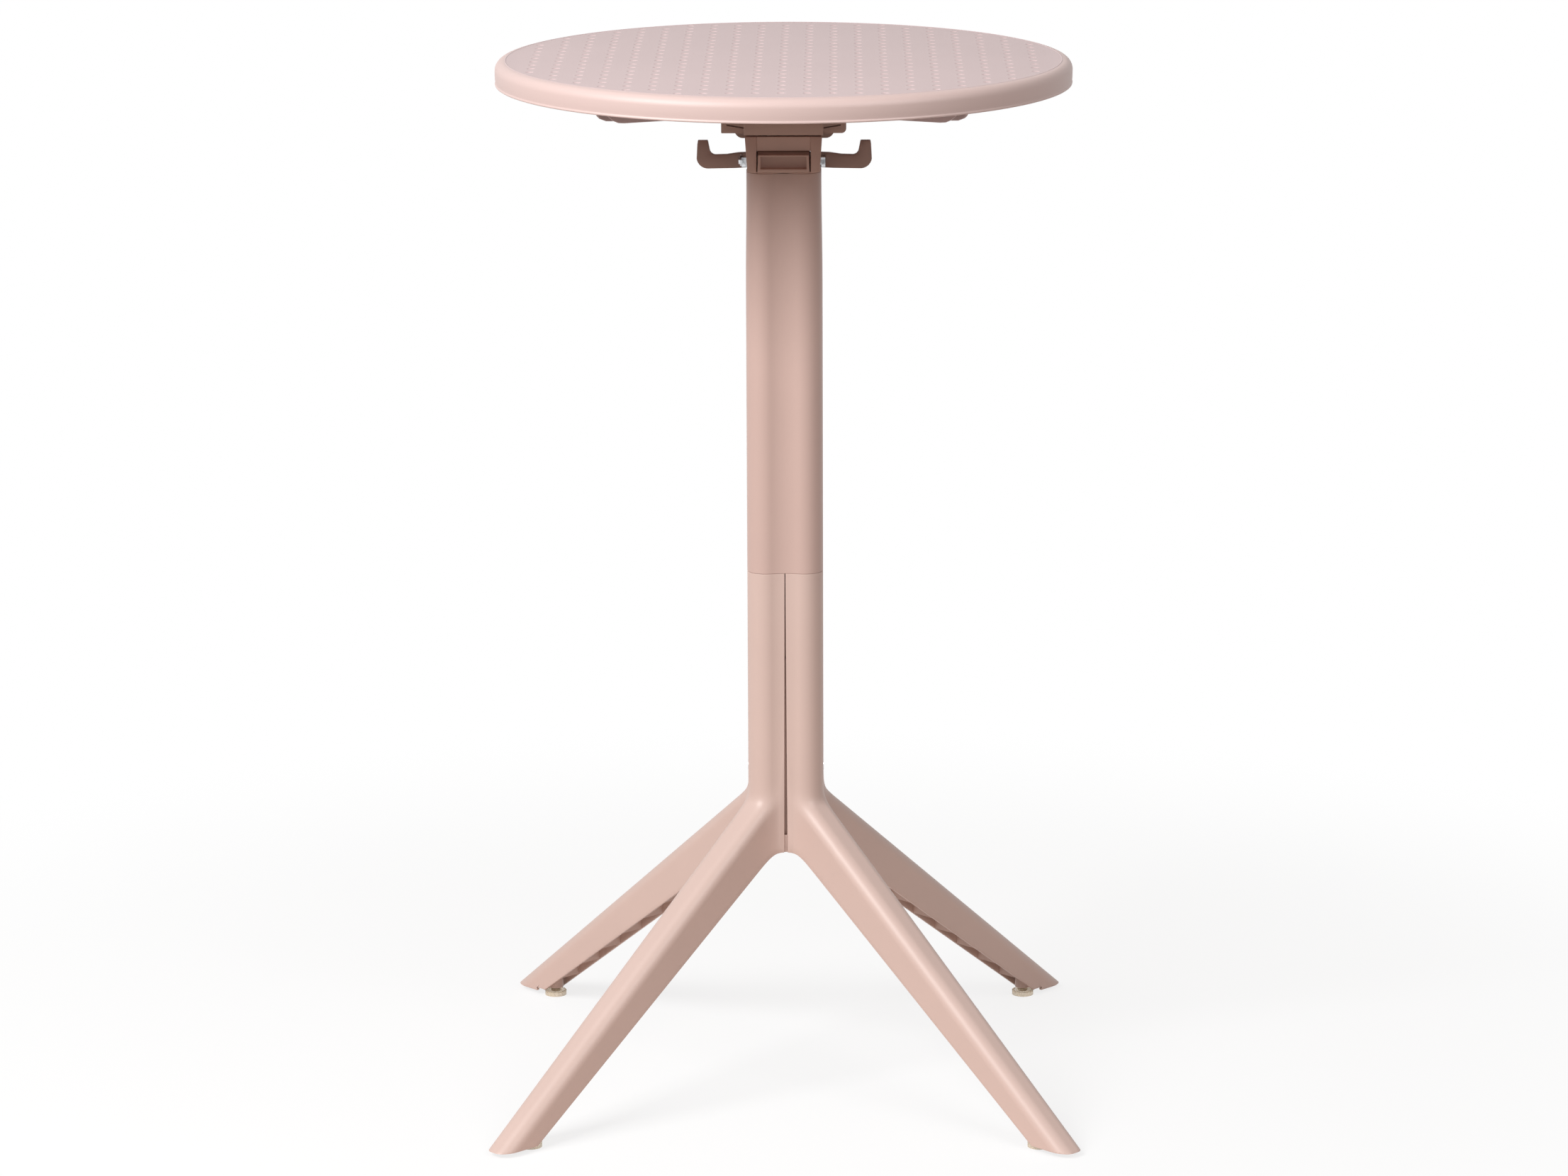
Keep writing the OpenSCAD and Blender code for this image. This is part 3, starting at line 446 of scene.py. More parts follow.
def dimple_tile():
    let_go()
    bpy.ops.mesh.primitive_circle_add(vertices=TILE_SIDES, radius=1, fill_type="NGON")
    tile = named("dimple")
    round_edge = points_of(tile)
    square_edge = round_edge / np.abs(round_edge[:, :2]).max(axis=1, keepdims=True)
    place_points(tile, square_edge * PITCH / 2 * MM)
    edit(tile)
    for radius, depth in DIMPLE_RINGS:
        bpy.ops.mesh.inset(thickness=TINY)
        leave_edit()
        ring = points_of(tile)
        inner = np.array([v.select for v in tile.data.vertices])
        angle = np.arctan2(ring[inner, 1], ring[inner, 0])
        x, y = radius * np.cos(angle), radius * np.sin(angle)
        ring[inner] = np.column_stack([x, y, angle * 0 - depth]) * MM
        place_points(tile, ring)
        bpy.ops.object.mode_set(mode="EDIT")
    leave_edit()
    return tile


# %% The field of dimples
FIELD_INSET = 2


def drop_faces(piece, chosen):
    """Deletes the faces that an array of true and false chooses."""
    piece.data.vertices.foreach_set("select", np.zeros(len(piece.data.vertices), bool))
    piece.data.edges.foreach_set("select", np.zeros(len(piece.data.edges), bool))
    piece.data.polygons.foreach_set("select", chosen)
    hold(piece)
    bpy.ops.object.mode_set(mode="EDIT")
    bpy.ops.mesh.select_mode(type="FACE")
    bpy.ops.mesh.delete(type="FACE")
    leave_edit()


def dimpled_field():
    field = dimple_tile()
    steps = int(REACH // PITCH)
    for axis in ((1, 0, 0), (0, 1, 0)):
        apply(
            field, "ARRAY", count=2 * steps + 1, use_relative_offset=False, use_constant_offset=True,
            constant_offset_displace=[PITCH * MM * a for a in axis], use_merge_vertices=True,
            merge_threshold=TINY,
        )
    at = points_of(field)
    at[:, :2] -= steps * PITCH * MM
    place_points(field, at)
    centre = np.array([f.center[:2] for f in field.data.polygons]) / MM
    tile = np.round(centre / PITCH) * PITCH
    drop_faces(field, np.hypot(tile[:, 0], tile[:, 1]) > REACH)
    at = points_of(field)
    r = np.hypot(at[:, 0], at[:, 1])
    at[:, :2] *= np.minimum(1, (BORDER_R - FIELD_INSET) * MM / np.maximum(r, MM))[:, None]
    place_points(field, at)
    return field


# %% [markdown]
# ## The rim
#
# The rest of the shell is a round profile: the fine line, a plain band, a soft shoulder, a nearly upright
# side with a small lip, and the inside, up to the panel's underside. A lathed profile would need a seam
# with the field. So it grows ring by ring out of the field's border, each ring an extruded edge loop that is
# scaled and lowered.

# %% The rim's profile
RIM_STEPS = 192
SHOULDER = 10.0
RIM_WALL = 3.6
BORDER_LINE = [(-0.75, 0.05), (-0.35, 0.42), (0, 0.5), (0.35, 0.42), (0.75, 0.05), (1, 0)]
LIP = [
    (-0.15, 6), (-0.7, 3.4), (-0.7, 2.6), (-0.25, 2), (0, 1.4), (-0.25, 0.5), (-1, 0), (-2.8, 0),
    (-RIM_WALL, 0.6),
]
PANEL_RINGS = (286, 270, 200, 130, 60, 4)


def shoulder_arc(radius, start, end, steps):
    angles = np.radians(np.linspace(start, end, steps + 1))
    centre_r, centre_z = TOP_R - SHOULDER, border_z - SHOULDER
    return [(centre_r + radius * math.cos(a), centre_z + radius * math.sin(a)) for a in angles]


def rim_profile():
    """Radius and height of each ring, from the field's edge round the rim to the middle of the underside."""
    line = [(BORDER_R + out, border_z + up) for out, up in BORDER_LINE]
    lip = [(TOP_R + out, rim_z + up) for out, up in LIP]
    outside = shoulder_arc(SHOULDER, 90, 0, 9)
    inside = shoulder_arc(SHOULDER - RIM_WALL, 0, 90, 5)
    return line + outside + lip + inside + [(r, dome(r) - PANEL) for r in PANEL_RINGS]


# %% The top's shell
def top_shell():
    field = dimpled_field()
    radius = BORDER_R - FIELD_GAP
    height = dome(radius)
    let_go()
    bpy.ops.mesh.primitive_circle_add(vertices=RIM_STEPS, radius=radius * MM)
    shell = join("top_shell", [field, bpy.context.object])
    edit(shell, lambda at: np.zeros(len(at), bool))  # starts with nothing selected
    bpy.ops.mesh.select_non_manifold()
    bpy.ops.mesh.fill(use_beauty=True)
    leave_edit()
    at = points_of(shell)
    at[:, 2] += dome(np.hypot(at[:, 0], at[:, 1]) / MM) * MM
    place_points(shell, at)

    edit(shell, lambda at: np.hypot(at[:, 0], at[:, 1]) > (radius - 0.2) * MM)
    bpy.ops.mesh.select_mode(type="EDGE")
    for r, z in rim_profile():
        bpy.ops.mesh.extrude_edges_move()
        bpy.ops.transform.resize(value=(r / radius, r / radius, 1), center_override=(0, 0, 0))
        bpy.ops.transform.translate(value=(0, 0, (z - height) * MM))
        radius, height = r, z
    bpy.ops.mesh.edge_face_add()
    leave_edit()
    return sew(shell)


shell = smooth(top_shell(), 38)
print("top shell", len(shell.data.polygons), "faces")

# %% [markdown]
# ## Ribs under the top
#
# Ring ribs and spokes stiffen the panel. Four hollow beams run out from the hub, where the bracket is
# screwed on, and their rounded ends show below the rim. They could be cut from a solid disc, but a moulded
# rib is a thin sheet, and is made as one here: it stands on its plan, Solidify gives it its thickness, and
# the repeats are copies that are turned about the axis.

# %% Softening and copying
RIB_EDGE_ANGLE = 50


def soften(piece, width, angle=RIB_EDGE_ANGLE):
    """Bevels the edges that are sharper than an angle; width in millimetres."""
    return apply(
        piece, "BEVEL", width=width * MM, segments=2, limit_method="ANGLE", angle_limit=math.radians(angle),
        use_clamp_overlap=False, harden_normals=False,
    )


def spun(piece, degrees):
    """Turns a piece's mesh about the table's axis."""
    piece.data.transform(Matrix.Rotation(math.radians(degrees), 4, "Z"))
    return piece


def flipped(piece, axis):
    """Mirrors a piece's mesh along an axis."""
    piece.data.transform(Matrix.Scale(-1, 4, axis))
    edit(piece)
    bpy.ops.mesh.flip_normals()
    leave_edit()
    return piece


def copied(piece, name):
    twin = piece.copy()
    twin.data = piece.data.copy()
    bpy.context.scene.collection.objects.link(twin)
    return named(name, twin)


# %% Sheets and walls
def level(height):
    """A height that is the same everywhere, for the lower or upper edge of a sheet."""
    return lambda x, y: height + x * 0


def circle_plan(radius, sides, x=0.0):
    angle = np.linspace(0, 2 * math.pi, sides, endpoint=False)
    return np.column_stack([x + radius * np.cos(angle), radius * np.sin(angle)])


def drop_edge(piece, first, second):
    """An open plan has no edge from its last point back to its first."""
    edit(piece, lambda at: np.isin(np.arange(len(at)), (first, second)))
    bpy.ops.mesh.select_mode(type="EDGE")
    bpy.ops.mesh.delete(type="EDGE_FACE")
    leave_edit()


def fence(name, plan, low, high, closed):
    """A thin upright sheet on a plan. Its heights low and high are functions of the place."""
    let_go()
    bpy.ops.mesh.primitive_circle_add(vertices=len(plan), radius=1)
    piece = named(name)
    plan = np.asarray(plan, float)
    place_points(piece, np.column_stack([plan, low(*plan.T)]) * MM)
    if not closed:
        drop_edge(piece, 0, len(plan) - 1)
    edit(piece)
    bpy.ops.mesh.extrude_edges_move()
    leave_edit()
    at = points_of(piece)
    upper = at[len(plan):]
    upper[:, 2] = high(*(upper[:, :2].T / MM)) * MM
    place_points(piece, at)
    return piece


def wall(name, plan, low, high, thickness, closed=True, edge=0.4):
    """A fence with a thickness and softened edges."""
    piece = fence(name, plan, low, high, closed)
    apply(piece, "SOLIDIFY", thickness=thickness * MM, offset=0, use_even_offset=True)
    return soften(sew(piece), edge)


# %% Drums
DRUM_SIDES = 48


def drum(name, radius, low, high, place, along_x=False):
    """A closed cylinder that stands, or lies along X. place holds its two other coordinates."""
    middle = (low + high) / 2
    centre = (middle, *place) if along_x else (*place, middle)
    turn = math.pi / 2 if along_x else 0
    let_go()
    bpy.ops.mesh.primitive_cylinder_add(
        vertices=DRUM_SIDES, radius=radius * MM, depth=(high - low) * MM, location=Vector(centre) * MM,
        rotation=(turn, 0, turn),
    )
    bpy.ops.object.transform_apply()
    return named(name)


# %% Rib sizes
RIB = 2.6
RIB_TOP = 1096.8
RIB_LOW = 1086.8
RING_RIBS = (147, 222)
RING_SIDES = 96
SPOKES = 16
SPOKE_LINE = (88, 120, 180, 240, TOP_R - 10, TOP_R - 7, TOP_R - 4.6, TOP_R - 2.6, TOP_R - 1.9)
SPOKE_ARC = SHOULDER - RIM_WALL / 2


def under_shoulder(x, y):
    """The height at which a spoke's upper edge lies inside the panel or the shoulder."""
    r = np.hypot(x, y)
    bend_r = TOP_R - SHOULDER
    beyond = np.clip((r - bend_r) / SPOKE_ARC, 0, 1)
    return np.where(r < bend_r, RIB_TOP, border_z - SHOULDER + SPOKE_ARC * np.sqrt(1 - beyond**2))


# %% Ring ribs and spokes
ribs = [wall("ring_rib", circle_plan(r, RING_SIDES), level(RIB_LOW), level(RIB_TOP), RIB) for r in RING_RIBS]
spoke_plan = [(r, 0) for r in SPOKE_LINE]
spoke = wall("spoke", spoke_plan, level(RIB_LOW), under_shoulder, RIB, closed=False)
ribs += [spun(copied(spoke, "spoke"), 360 / SPOKES * k) for k in range(1, SPOKES)] + [spoke]
print(len(ribs), "ring ribs and spokes")

# %% Hollow beams
BEAM_HALF = 9.7
BEAM_END = 251.0
BEAM_LINE = ((40, 240, 248.8, 256.06, 261, 264), (1044, 1056.2, 1058.2, 1064.2, 1074.2, 1084.2))
BEAM_EDGE = 0.9
BEAM_STEPS = 24
BACK_STARTS = (78, 78)
FRONT_STARTS = (55, 74)


def beam_low(x, y):
    return np.interp(x, *BEAM_LINE)


def beam(start_left, start_right):
    """A beam along +X: out on its left side, round its end, and back on its right side to the hub."""
    turn = np.radians(np.linspace(90, -90, 17))
    end = np.column_stack([BEAM_END + BEAM_HALF * np.cos(turn), BEAM_HALF * np.sin(turn)])
    left = [(x, BEAM_HALF) for x in np.linspace(start_left, BEAM_END, BEAM_STEPS)[:-1]]
    right = [(x, -BEAM_HALF) for x in np.linspace(BEAM_END, start_right, BEAM_STEPS)[1:]]
    plan = np.vstack([left, end, right])
    return wall("beam", plan, beam_low, level(RIB_TOP), RIB, closed=False, edge=BEAM_EDGE)


back_beam, front_beam = beam(*BACK_STARTS), beam(*FRONT_STARTS)
ribs += [spun(copied(back_beam, "beam"), 45), spun(back_beam, 135), spun(copied(front_beam, "beam"), 315)]
ribs += [spun(flipped(front_beam, (0, 1, 0)), 225)]
print(len(ribs), "with the beams")

# %% The hub, and the whole top
HUB_X = 62.0 - RIB / 2
HUB_FRONT, HUB_BACK = -46.0 + RIB / 2, 62.0 - RIB / 2
HUB_LOW = 1042.0
SCREW_BOSS_R = 7
SCREW_PLACES = [(x, y) for x in (-50, 50) for y in (-8, 36)]

hub_plan = [(HUB_X, HUB_FRONT), (HUB_X, HUB_BACK), (-HUB_X, HUB_BACK), (-HUB_X, HUB_FRONT)]
ribs.append(wall("hub_box", hub_plan, level(HUB_LOW), level(RIB_TOP), RIB))
ribs += [drum("screw_boss", SCREW_BOSS_R, HUB_LOW, RIB_TOP, place) for place in SCREW_PLACES]
table_top = join("table_top_shell", [shell, smooth(join("rib_set", ribs), 35)])
dress(table_top, "top", "top_plastic", top_plastic, "table_top")

# %% [markdown]
# ## The plastic column
#
# The column is a tube whose section is four lobes of 20 mm radius with shallow hollows between. It could be
# a drawn outline that is extruded, but the legs below are blended into it. So the section is worked out as
# a distance from its edge, because a distance blends well, and the tube is a grid wrapped on its rings.

# %% The column's section
COLUMN_R = 40.0
LOBE_R = 20.0
GROOVE = 3.0
LOBE_STEPS, HOLLOW_STEPS = 24, 10
lobe_centre = COLUMN_R - LOBE_R
hollow_mid = LOBE_R - GROOVE
HOLLOW_R = (lobe_centre**2 + hollow_mid**2 - LOBE_R**2) / (2 * GROOVE)
hollow_centre = lobe_centre + hollow_mid + HOLLOW_R
hollow_turn = math.atan2(lobe_centre, hollow_mid + HOLLOW_R)
print("hollow radius", round(HOLLOW_R, 1))


def lobed_distance(x, y):
    """How far a point lies outside the column's section, in millimetres; negative inside."""
    a, b = np.minimum(abs(x), abs(y)), np.maximum(abs(x), abs(y))
    from_hollow = np.hypot(a, b - hollow_centre)
    in_hollow = np.arctan2(a, hollow_centre - b) < hollow_turn
    return np.where(in_hollow, HOLLOW_R - from_hollow, np.hypot(a - lobe_centre, b - lobe_centre) - LOBE_R)


def lobed_section(inset):
    """Points round the section, drawn in by inset."""
    turn = math.degrees(hollow_turn)
    lobe = np.radians(np.linspace(-turn, 90 + turn, LOBE_STEPS))
    hollow = np.radians(np.linspace(turn - 90, -turn - 90, HOLLOW_STEPS)[1:-1])
    quarter_points = np.vstack([
        np.column_stack([np.cos(lobe), np.sin(lobe)]) * (LOBE_R - inset) + lobe_centre,
        np.column_stack([np.cos(hollow), np.sin(hollow)]) * (HOLLOW_R + inset) + (0, hollow_centre),
    ])
    turns = [np.array([[0, -1], [1, 0]]), -np.eye(2), np.array([[0, 1], [-1, 0]])]
    return np.vstack([quarter_points] + [quarter_points @ t.T for t in turns])


# %% Grids wrapped on a form
def wrapped_grid(name, points):
    """A grid primitive whose vertices go to an array of rows of points, in millimetres."""
    rows, columns = points.shape[:2]
    let_go()
    bpy.ops.mesh.primitive_grid_add(x_subdivisions=columns - 1, y_subdivisions=rows - 1, size=2)
    piece = named(name)
    flat = points_of(piece)
    across = np.unique(np.round(flat[:, 0], 5), return_inverse=True)[1]
    along = np.unique(np.round(flat[:, 1], 5), return_inverse=True)[1]
    assert across.max() == columns - 1 and along.max() == rows - 1
    place_points(piece, points[along, across] * MM)
    return piece


def ring_skin(name, rings):
    """A closed skin through rings, each a plan and a height; the last ring runs back into the first."""
    points = np.array([np.column_stack([plan, np.full(len(plan), height)]) for plan, height in rings])
    return sew(wrapped_grid(name, np.pad(points, ((0, 1), (0, 1), (0, 0)), mode="wrap")))


# %% The column's tube, its spigot and what joins them
SEAM_Z = 557.0
HEAD_Z = 983.0
TUBE_WALL = 4.0
TUBE_EDGE = 0.4
SPIGOT_LEN = 92
SPIGOT_INSET = 4.3
SPIGOT_RISE = 0.5
JOGGLE_TOP = 4.5
JOGGLE_INSET = 1.0
JOGGLE_WALL = 7.0
TAPER = [(860, 0.0), (885, 0.1), (910, 0.4), (935, 0.75), (955, 0.95), (966, 1.0), (979, 1.0), (982, 1.0)]


def lobed_tube(name, low, high, outer, thick, drawn=()):
    """A tube on the column's section. drawn lists heights and how far the outside is drawn in there."""
    top = outer + (drawn[-1][1] if drawn else 0)
    levels = [
        (low, outer + TUBE_EDGE), (low + TUBE_EDGE, outer), *drawn, (high - TUBE_EDGE, top),
        (high, top + TUBE_EDGE), (high, outer + thick), (low, outer + thick),
    ]
    return ring_skin(name, [(lobed_section(inset), height) for height, inset in levels])


upper = lobed_tube("upper_column_tube", SEAM_Z, HEAD_Z, 0, TUBE_WALL, TAPER)
spigot_top = SEAM_Z + SPIGOT_RISE
spigot = lobed_tube("upper_column_spigot", SEAM_Z - SPIGOT_LEN, spigot_top, SPIGOT_INSET, TUBE_WALL)
joggle = lobed_tube("upper_column_joggle", spigot_top, SEAM_Z + JOGGLE_TOP, JOGGLE_INSET, JOGGLE_WALL)
upper_column_shell = join("upper_column_shell", [upper, spigot, joggle])
print("column", len(upper_column_shell.data.polygons), "faces")

# %% [markdown]
# ## Room in the column's upper end
#
# The bracket's lugs swing inside the column's upper end, and a washer lies in a round flat on each side. The
# tube could be wrapped round these hollows, but they cross it at right angles, as a milling cutter would.
# So a block and two drums are taken away with a Boolean.

# %% Blocks and cuts
def block(name, low, high, edge):
    """A box between two corners in millimetres; its edges are softened unless edge is 0."""
    low, high = Vector(low) * MM, Vector(high) * MM
    let_go()
    bpy.ops.mesh.primitive_cube_add(size=1, location=(low + high) / 2, scale=high - low)
    bpy.ops.object.transform_apply()
    piece = named(name)
    return soften(piece, edge) if edge else piece


def cut_out(piece, tool):
    apply(piece, "BOOLEAN", operation="DIFFERENCE", solver="EXACT", object=tool)
    bpy.data.objects.remove(tool)


# %% Swing space and washer flats
PIVOT_Y, PIVOT_Z = 21.0, 988.0
SWING_LOW = (-28, 0, PIVOT_Z - 21)
SWING_HIGH = (28, 50, PIVOT_Z + 10)
FLAT_R = 8.6
FLAT_X = 36.2
BEYOND_COLUMN = 48

cut_out(upper_column_shell, block("swing_space", SWING_LOW, SWING_HIGH, edge=0.1))
for low, high in ((-BEYOND_COLUMN, -FLAT_X), (FLAT_X, BEYOND_COLUMN)):
    cut_out(upper_column_shell, drum("washer_flat", FLAT_R, low, high, (PIVOT_Y, PIVOT_Z), along_x=True))
smooth(upper_column_shell, 30)
# painted shade: the column's material is the darkened pink that stands for the top's shade
dress(upper_column_shell, "base", "column_plastic", column_plastic, "upper_column")

# %% [markdown]
# ## The legs
#
# Each lobe of the column runs on into a leg, with a soft crook at the shoulder and a soft valley on the
# faces between. Beams joined by bevels would show a crease there. So column and legs are distances that an
# exponential blend melts together. The skin is then swept: level slices down the column, slices that fan
# out over the shoulder, upright slices along the leg. In each slice, rays from the core find the surface.

# %% The legs' lines
LEG_REACH = 425.0
LEG_ROOT = 60.0
LEG_WALL = 3.4
FOOT_Z = 5.0
ARCH_Z = 252.0
ARCH_SOFTNESS = 2.5
RIDGE_Z = 297.0
ROOT_DEPTH, DEPTH_LOSS = 62.0, 28.0
ROOT_HALF, HALF_LOSS = 19.0, 2.5
ridge_fall = (RIDGE_Z - FOOT_Z) / (LEG_REACH - LEG_ROOT)
ridge_lean = math.cos(math.atan(ridge_fall))
print("ridge falls", round(ridge_fall, 3))


def ridge(r):
    return RIDGE_Z - ridge_fall * (r - LEG_ROOT)


def leg_share(r):
    return (r - LEG_ROOT) / (LEG_REACH - LEG_ROOT)


def leg_foot(r):
    """Height of the lower edge of the walls: the arch under the column, then the leg's own line."""
    own = ridge(r) - ROOT_DEPTH + DEPTH_LOSS * leg_share(r)
    return -ARCH_SOFTNESS * np.logaddexp(-ARCH_Z / ARCH_SOFTNESS, -own / ARCH_SOFTNESS)


def leg_half(r):
    return ROOT_HALF - HALF_LOSS * leg_share(r)


# %% Distances that melt together
EDGE_ROUND = 13.0
MELT = 3.2


def leg_distance(r, t, z):
    """How far a point lies outside a leg with rounded upper edges."""
    above = (z - ridge(r)) * ridge_lean + EDGE_ROUND
    beside = abs(t) - leg_half(r) + EDGE_ROUND
    outside = np.hypot(np.maximum(above, 0), np.maximum(beside, 0))
    return outside + np.minimum(np.maximum(above, beside), 0) - EDGE_ROUND


def base_distance(r, t, z):
    """Column and three nearest legs melted into one; r runs out along a leg and t across it."""
    root = math.sqrt(0.5)
    parts = [
        lobed_distance((r - t) * root, (r + t) * root), leg_distance(r, t, z),
        leg_distance(t, r, z), leg_distance(-t, r, z),
    ]
    return -MELT * np.logaddexp.reduce([-p / MELT for p in parts])


# %% Rays to the surface
RAY_REACH = 95.0
RAY_STEP = 1.0
HALVINGS = 30


def first_crossing(inside):
    """The least distance at which inside(distance) stops being negative, for arrays of rays."""
    low = np.zeros_like(inside(0.0))
    found = np.zeros_like(low, bool)
    for distance in np.arange(RAY_STEP, RAY_REACH, RAY_STEP):
        out = inside(distance + low * 0) > 0
        low = np.where(~found & ~out, distance, low)
        found |= out
    high = low + RAY_STEP
    for _ in range(HALVINGS):
        middle = (low + high) / 2
        out = inside(middle) > 0
        low, high = np.where(out, low, middle), np.where(out, middle, high)
    return (low + high) / 2


# %% The slices of a leg
COLUMN_LEVELS = (SEAM_Z, SEAM_Z - 0.5, SEAM_Z - 1, 540, 510, 480, 450, 420, 395)
FAN_TOP = 372.0
FAN_START, FAN_END = 26.2, 84.0
CORNER_TURN = 60.0
CORE = 19.0
CORE_START = 2.12
CORE_GAIN, CORE_LAST_GAIN = 35.0, 6
DENSE_FROM = 330
SLICES_END = 450


def slice_list():
    """Each slice: a point of its lower edge (r, z), its turn from level in degrees, and its core's height."""
    slices = [(None, z, 0.0, CORE_START) for z in COLUMN_LEVELS]
    for share in np.linspace(0, 1, 41):
        z = FAN_TOP + (ARCH_Z - FAN_TOP) * share
        slices.append((None, z, CORNER_TURN * share, CORE_START + CORE_GAIN * share))
    for share in np.linspace(0, 1, 33)[1:]:
        r = FAN_START + (FAN_END - FAN_START) * share
        turn = CORNER_TURN + (90 - CORNER_TURN) * share
        slices.append((r, float(leg_foot(r)), turn, CORE_START + CORE_GAIN + CORE_LAST_GAIN * share))
    along_leg = [np.linspace(FAN_END, DENSE_FROM, 28)[1:], np.linspace(DENSE_FROM, SLICES_END, 31)[1:]]
    for r in np.concatenate(along_leg):
        slices.append((r, float(leg_foot(r)), 90.0, ridge(r) - leg_foot(r) - CORE))
    return slices


# %% The skin of a leg
SKIN_COLUMNS = 65
SEAM_CHAMFER, CHAMFER_SLOPE = 0.5, 0.8


def leg_slice(r, z, tilt, core):
    """One row of the skin, along +X; without r it starts where the column's own edge lies."""
    out = np.array([math.cos(math.radians(tilt)), math.sin(math.radians(tilt))])
    chamfer = max(0.0, z - SEAM_Z + SEAM_CHAMFER) * CHAMFER_SLOPE
    if r is None:
        half_width = first_crossing(lambda d: base_distance(d, d, z + d * 0) + chamfer)
        r = float(half_width)
    else:
        half_width = first_crossing(lambda d: base_distance(r + d * 0, d, z + d * 0))
    centre = np.array([r, z]) + out * core
    last = math.atan2(float(half_width), -core)
    angles = np.linspace(-last, last, SKIN_COLUMNS)

    def point_at(d):
        along = d * np.cos(angles)
        return centre[0] + along * out[0], d * np.sin(angles), centre[1] + along * out[1]

    return np.column_stack(point_at(first_crossing(lambda d: base_distance(*point_at(d)) + chamfer)))


skin = np.array([leg_slice(*one_slice) for one_slice in slice_list()])
print("leg skin", skin.shape)

# %% [markdown]
# ## From skin to half
#
# The base is moulded as a left and a right half. Two skins, turned to their legs and sewn along the side,
# make the outside of one half. Its inside could be swept too, but Solidify gives an even wall at once. One
# plane cuts the feet level, another cuts the split, which widens towards the floor.

# %% Building one half
LEG_HEADINGS = (135, 225)
SKIN_SEAM = 0.00005
SPLIT_TOP = 0.8
SPLIT_LOW = 3.4


def cut(piece, point, normal):
    """Takes away what lies beyond a plane and closes the cut; point in millimetres."""
    edit(piece)
    bpy.ops.mesh.bisect(plane_co=Vector(point) * MM, plane_no=normal, use_fill=True, clear_outer=True)
    leave_edit()
    return piece


def turned(points, degrees):
    """Points turned about the table's axis."""
    c, s = math.cos(math.radians(degrees)), math.sin(math.radians(degrees))
    return points @ np.array([[c, s, 0], [-s, c, 0], [0, 0, 1]])


def half_shell(name):
    half = sew(join(name, [wrapped_grid(name, turned(skin, heading)) for heading in LEG_HEADINGS]), SKIN_SEAM)
    apply(half, "SOLIDIFY", thickness=LEG_WALL * MM, offset=-1, use_even_offset=False)
    cut(half, (0, 0, FOOT_Z), (0, 0, -1))
    slant = (SPLIT_LOW - SPLIT_TOP) / 2 / (SEAM_Z - ARCH_Z)
    return cut(half, (-SPLIT_TOP / 2, 0, SEAM_Z), (1, 0, -slant))


left_shell = half_shell("left_leg_shell")
print("half shell", len(left_shell.data.polygons), "faces")

# %% [markdown]
# ## Clamp bolts' seats and foot notches
#
# Two bolts clamp the halves, and their heads sit in round seats, the upper one deeper. A small notch in each
# leg's outer wall lies beside the glide. They could be worked into the skin's slices, but a Boolean keeps
# their walls square. A fine bevel then takes the sharpness off every edge.

# %% Seats and notches
CLAMP_LOW, CLAMP_HIGH = 339.0, 512.0
CLAMP_SEATS = ((CLAMP_LOW, -36.4), (CLAMP_HIGH, -26))
CLAMP_SEAT_R = 7.1
GLIDE_R = 373.0
NOTCH_LOW = (GLIDE_R + 1, 8, 0)
NOTCH_HIGH = (GLIDE_R + 13, 30, FOOT_Z + 3.5)
LEG_EDGE = 0.45
FINE_EDGE = 0.3

tools = [drum("seat", CLAMP_SEAT_R, -BEYOND_COLUMN, x, (0, z), along_x=True) for z, x in CLAMP_SEATS]
notch = block("notch", NOTCH_LOW, NOTCH_HIGH, edge=FINE_EDGE)
tools += [spun(copied(notch, "notch"), LEG_HEADINGS[0]), spun(flipped(notch, (0, 1, 0)), LEG_HEADINGS[1])]
for tool in tools:
    cut_out(left_shell, tool)
soften(left_shell, LEG_EDGE)
print("left shell", len(left_shell.data.polygons), "faces")

# %% [markdown]
# ## Inside the legs
#
# Seen from below, each leg is a channel with ribs across it and a boss for the glide's insert. The half's
# two bosses are for the clamp bolts, and two webs hold the column's lobes in shape. On the left half, a
# strip behind each gap and a tongue at its foot close the split. They could be blended into the skin, but
# nobody looks far up there. So these are plain walls, drums and blocks that end inside the leg's wall.

# %% Cross ribs and glide bosses
CROSS_RIB = 2.0
CROSS_RIB_FIRST, CROSS_RIB_PITCH, CROSS_RIBS = 108, 34.5, 8
CROSS_RIB_RISE = 0.8
WALL_INSET = 2.7
GLIDE_BOSS_R, GLIDE_BOSS_WALL, GLIDE_BOSS_LOW = 7.6, 2.2, 9.0


def under_skin(r, t):
    """The height of the middle of the leg's wall over a point."""
    beside = np.maximum(abs(t) - leg_half(r) + EDGE_ROUND, 0)
    above = np.sqrt(np.maximum((EDGE_ROUND - LEG_WALL / 2) ** 2 - beside**2, 0))
    return ridge(r) + (above - EDGE_ROUND) / ridge_lean


def rib_foot(r, t):
    return leg_foot(r) + CROSS_RIB_RISE


def cross_rib(r):
    half = leg_half(r) - WALL_INSET
    plan = [(r, t) for t in np.linspace(-half, half, 13)]
    return wall("cross_rib", plan, rib_foot, under_skin, CROSS_RIB, closed=False, edge=FINE_EDGE)


boss_plan = circle_plan(GLIDE_BOSS_R, 40, GLIDE_R)
boss = wall("glide_boss", boss_plan, level(GLIDE_BOSS_LOW), under_skin, GLIDE_BOSS_WALL, edge=FINE_EDGE)
one_leg = [cross_rib(CROSS_RIB_FIRST + CROSS_RIB_PITCH * k) for k in range(CROSS_RIBS)] + [boss]
inner = [spun(copied(piece, piece.name), LEG_HEADINGS[0]) for piece in one_leg]
inner += [spun(piece, LEG_HEADINGS[1]) for piece in one_leg]
print(len(inner), "ribs and bosses in two legs")

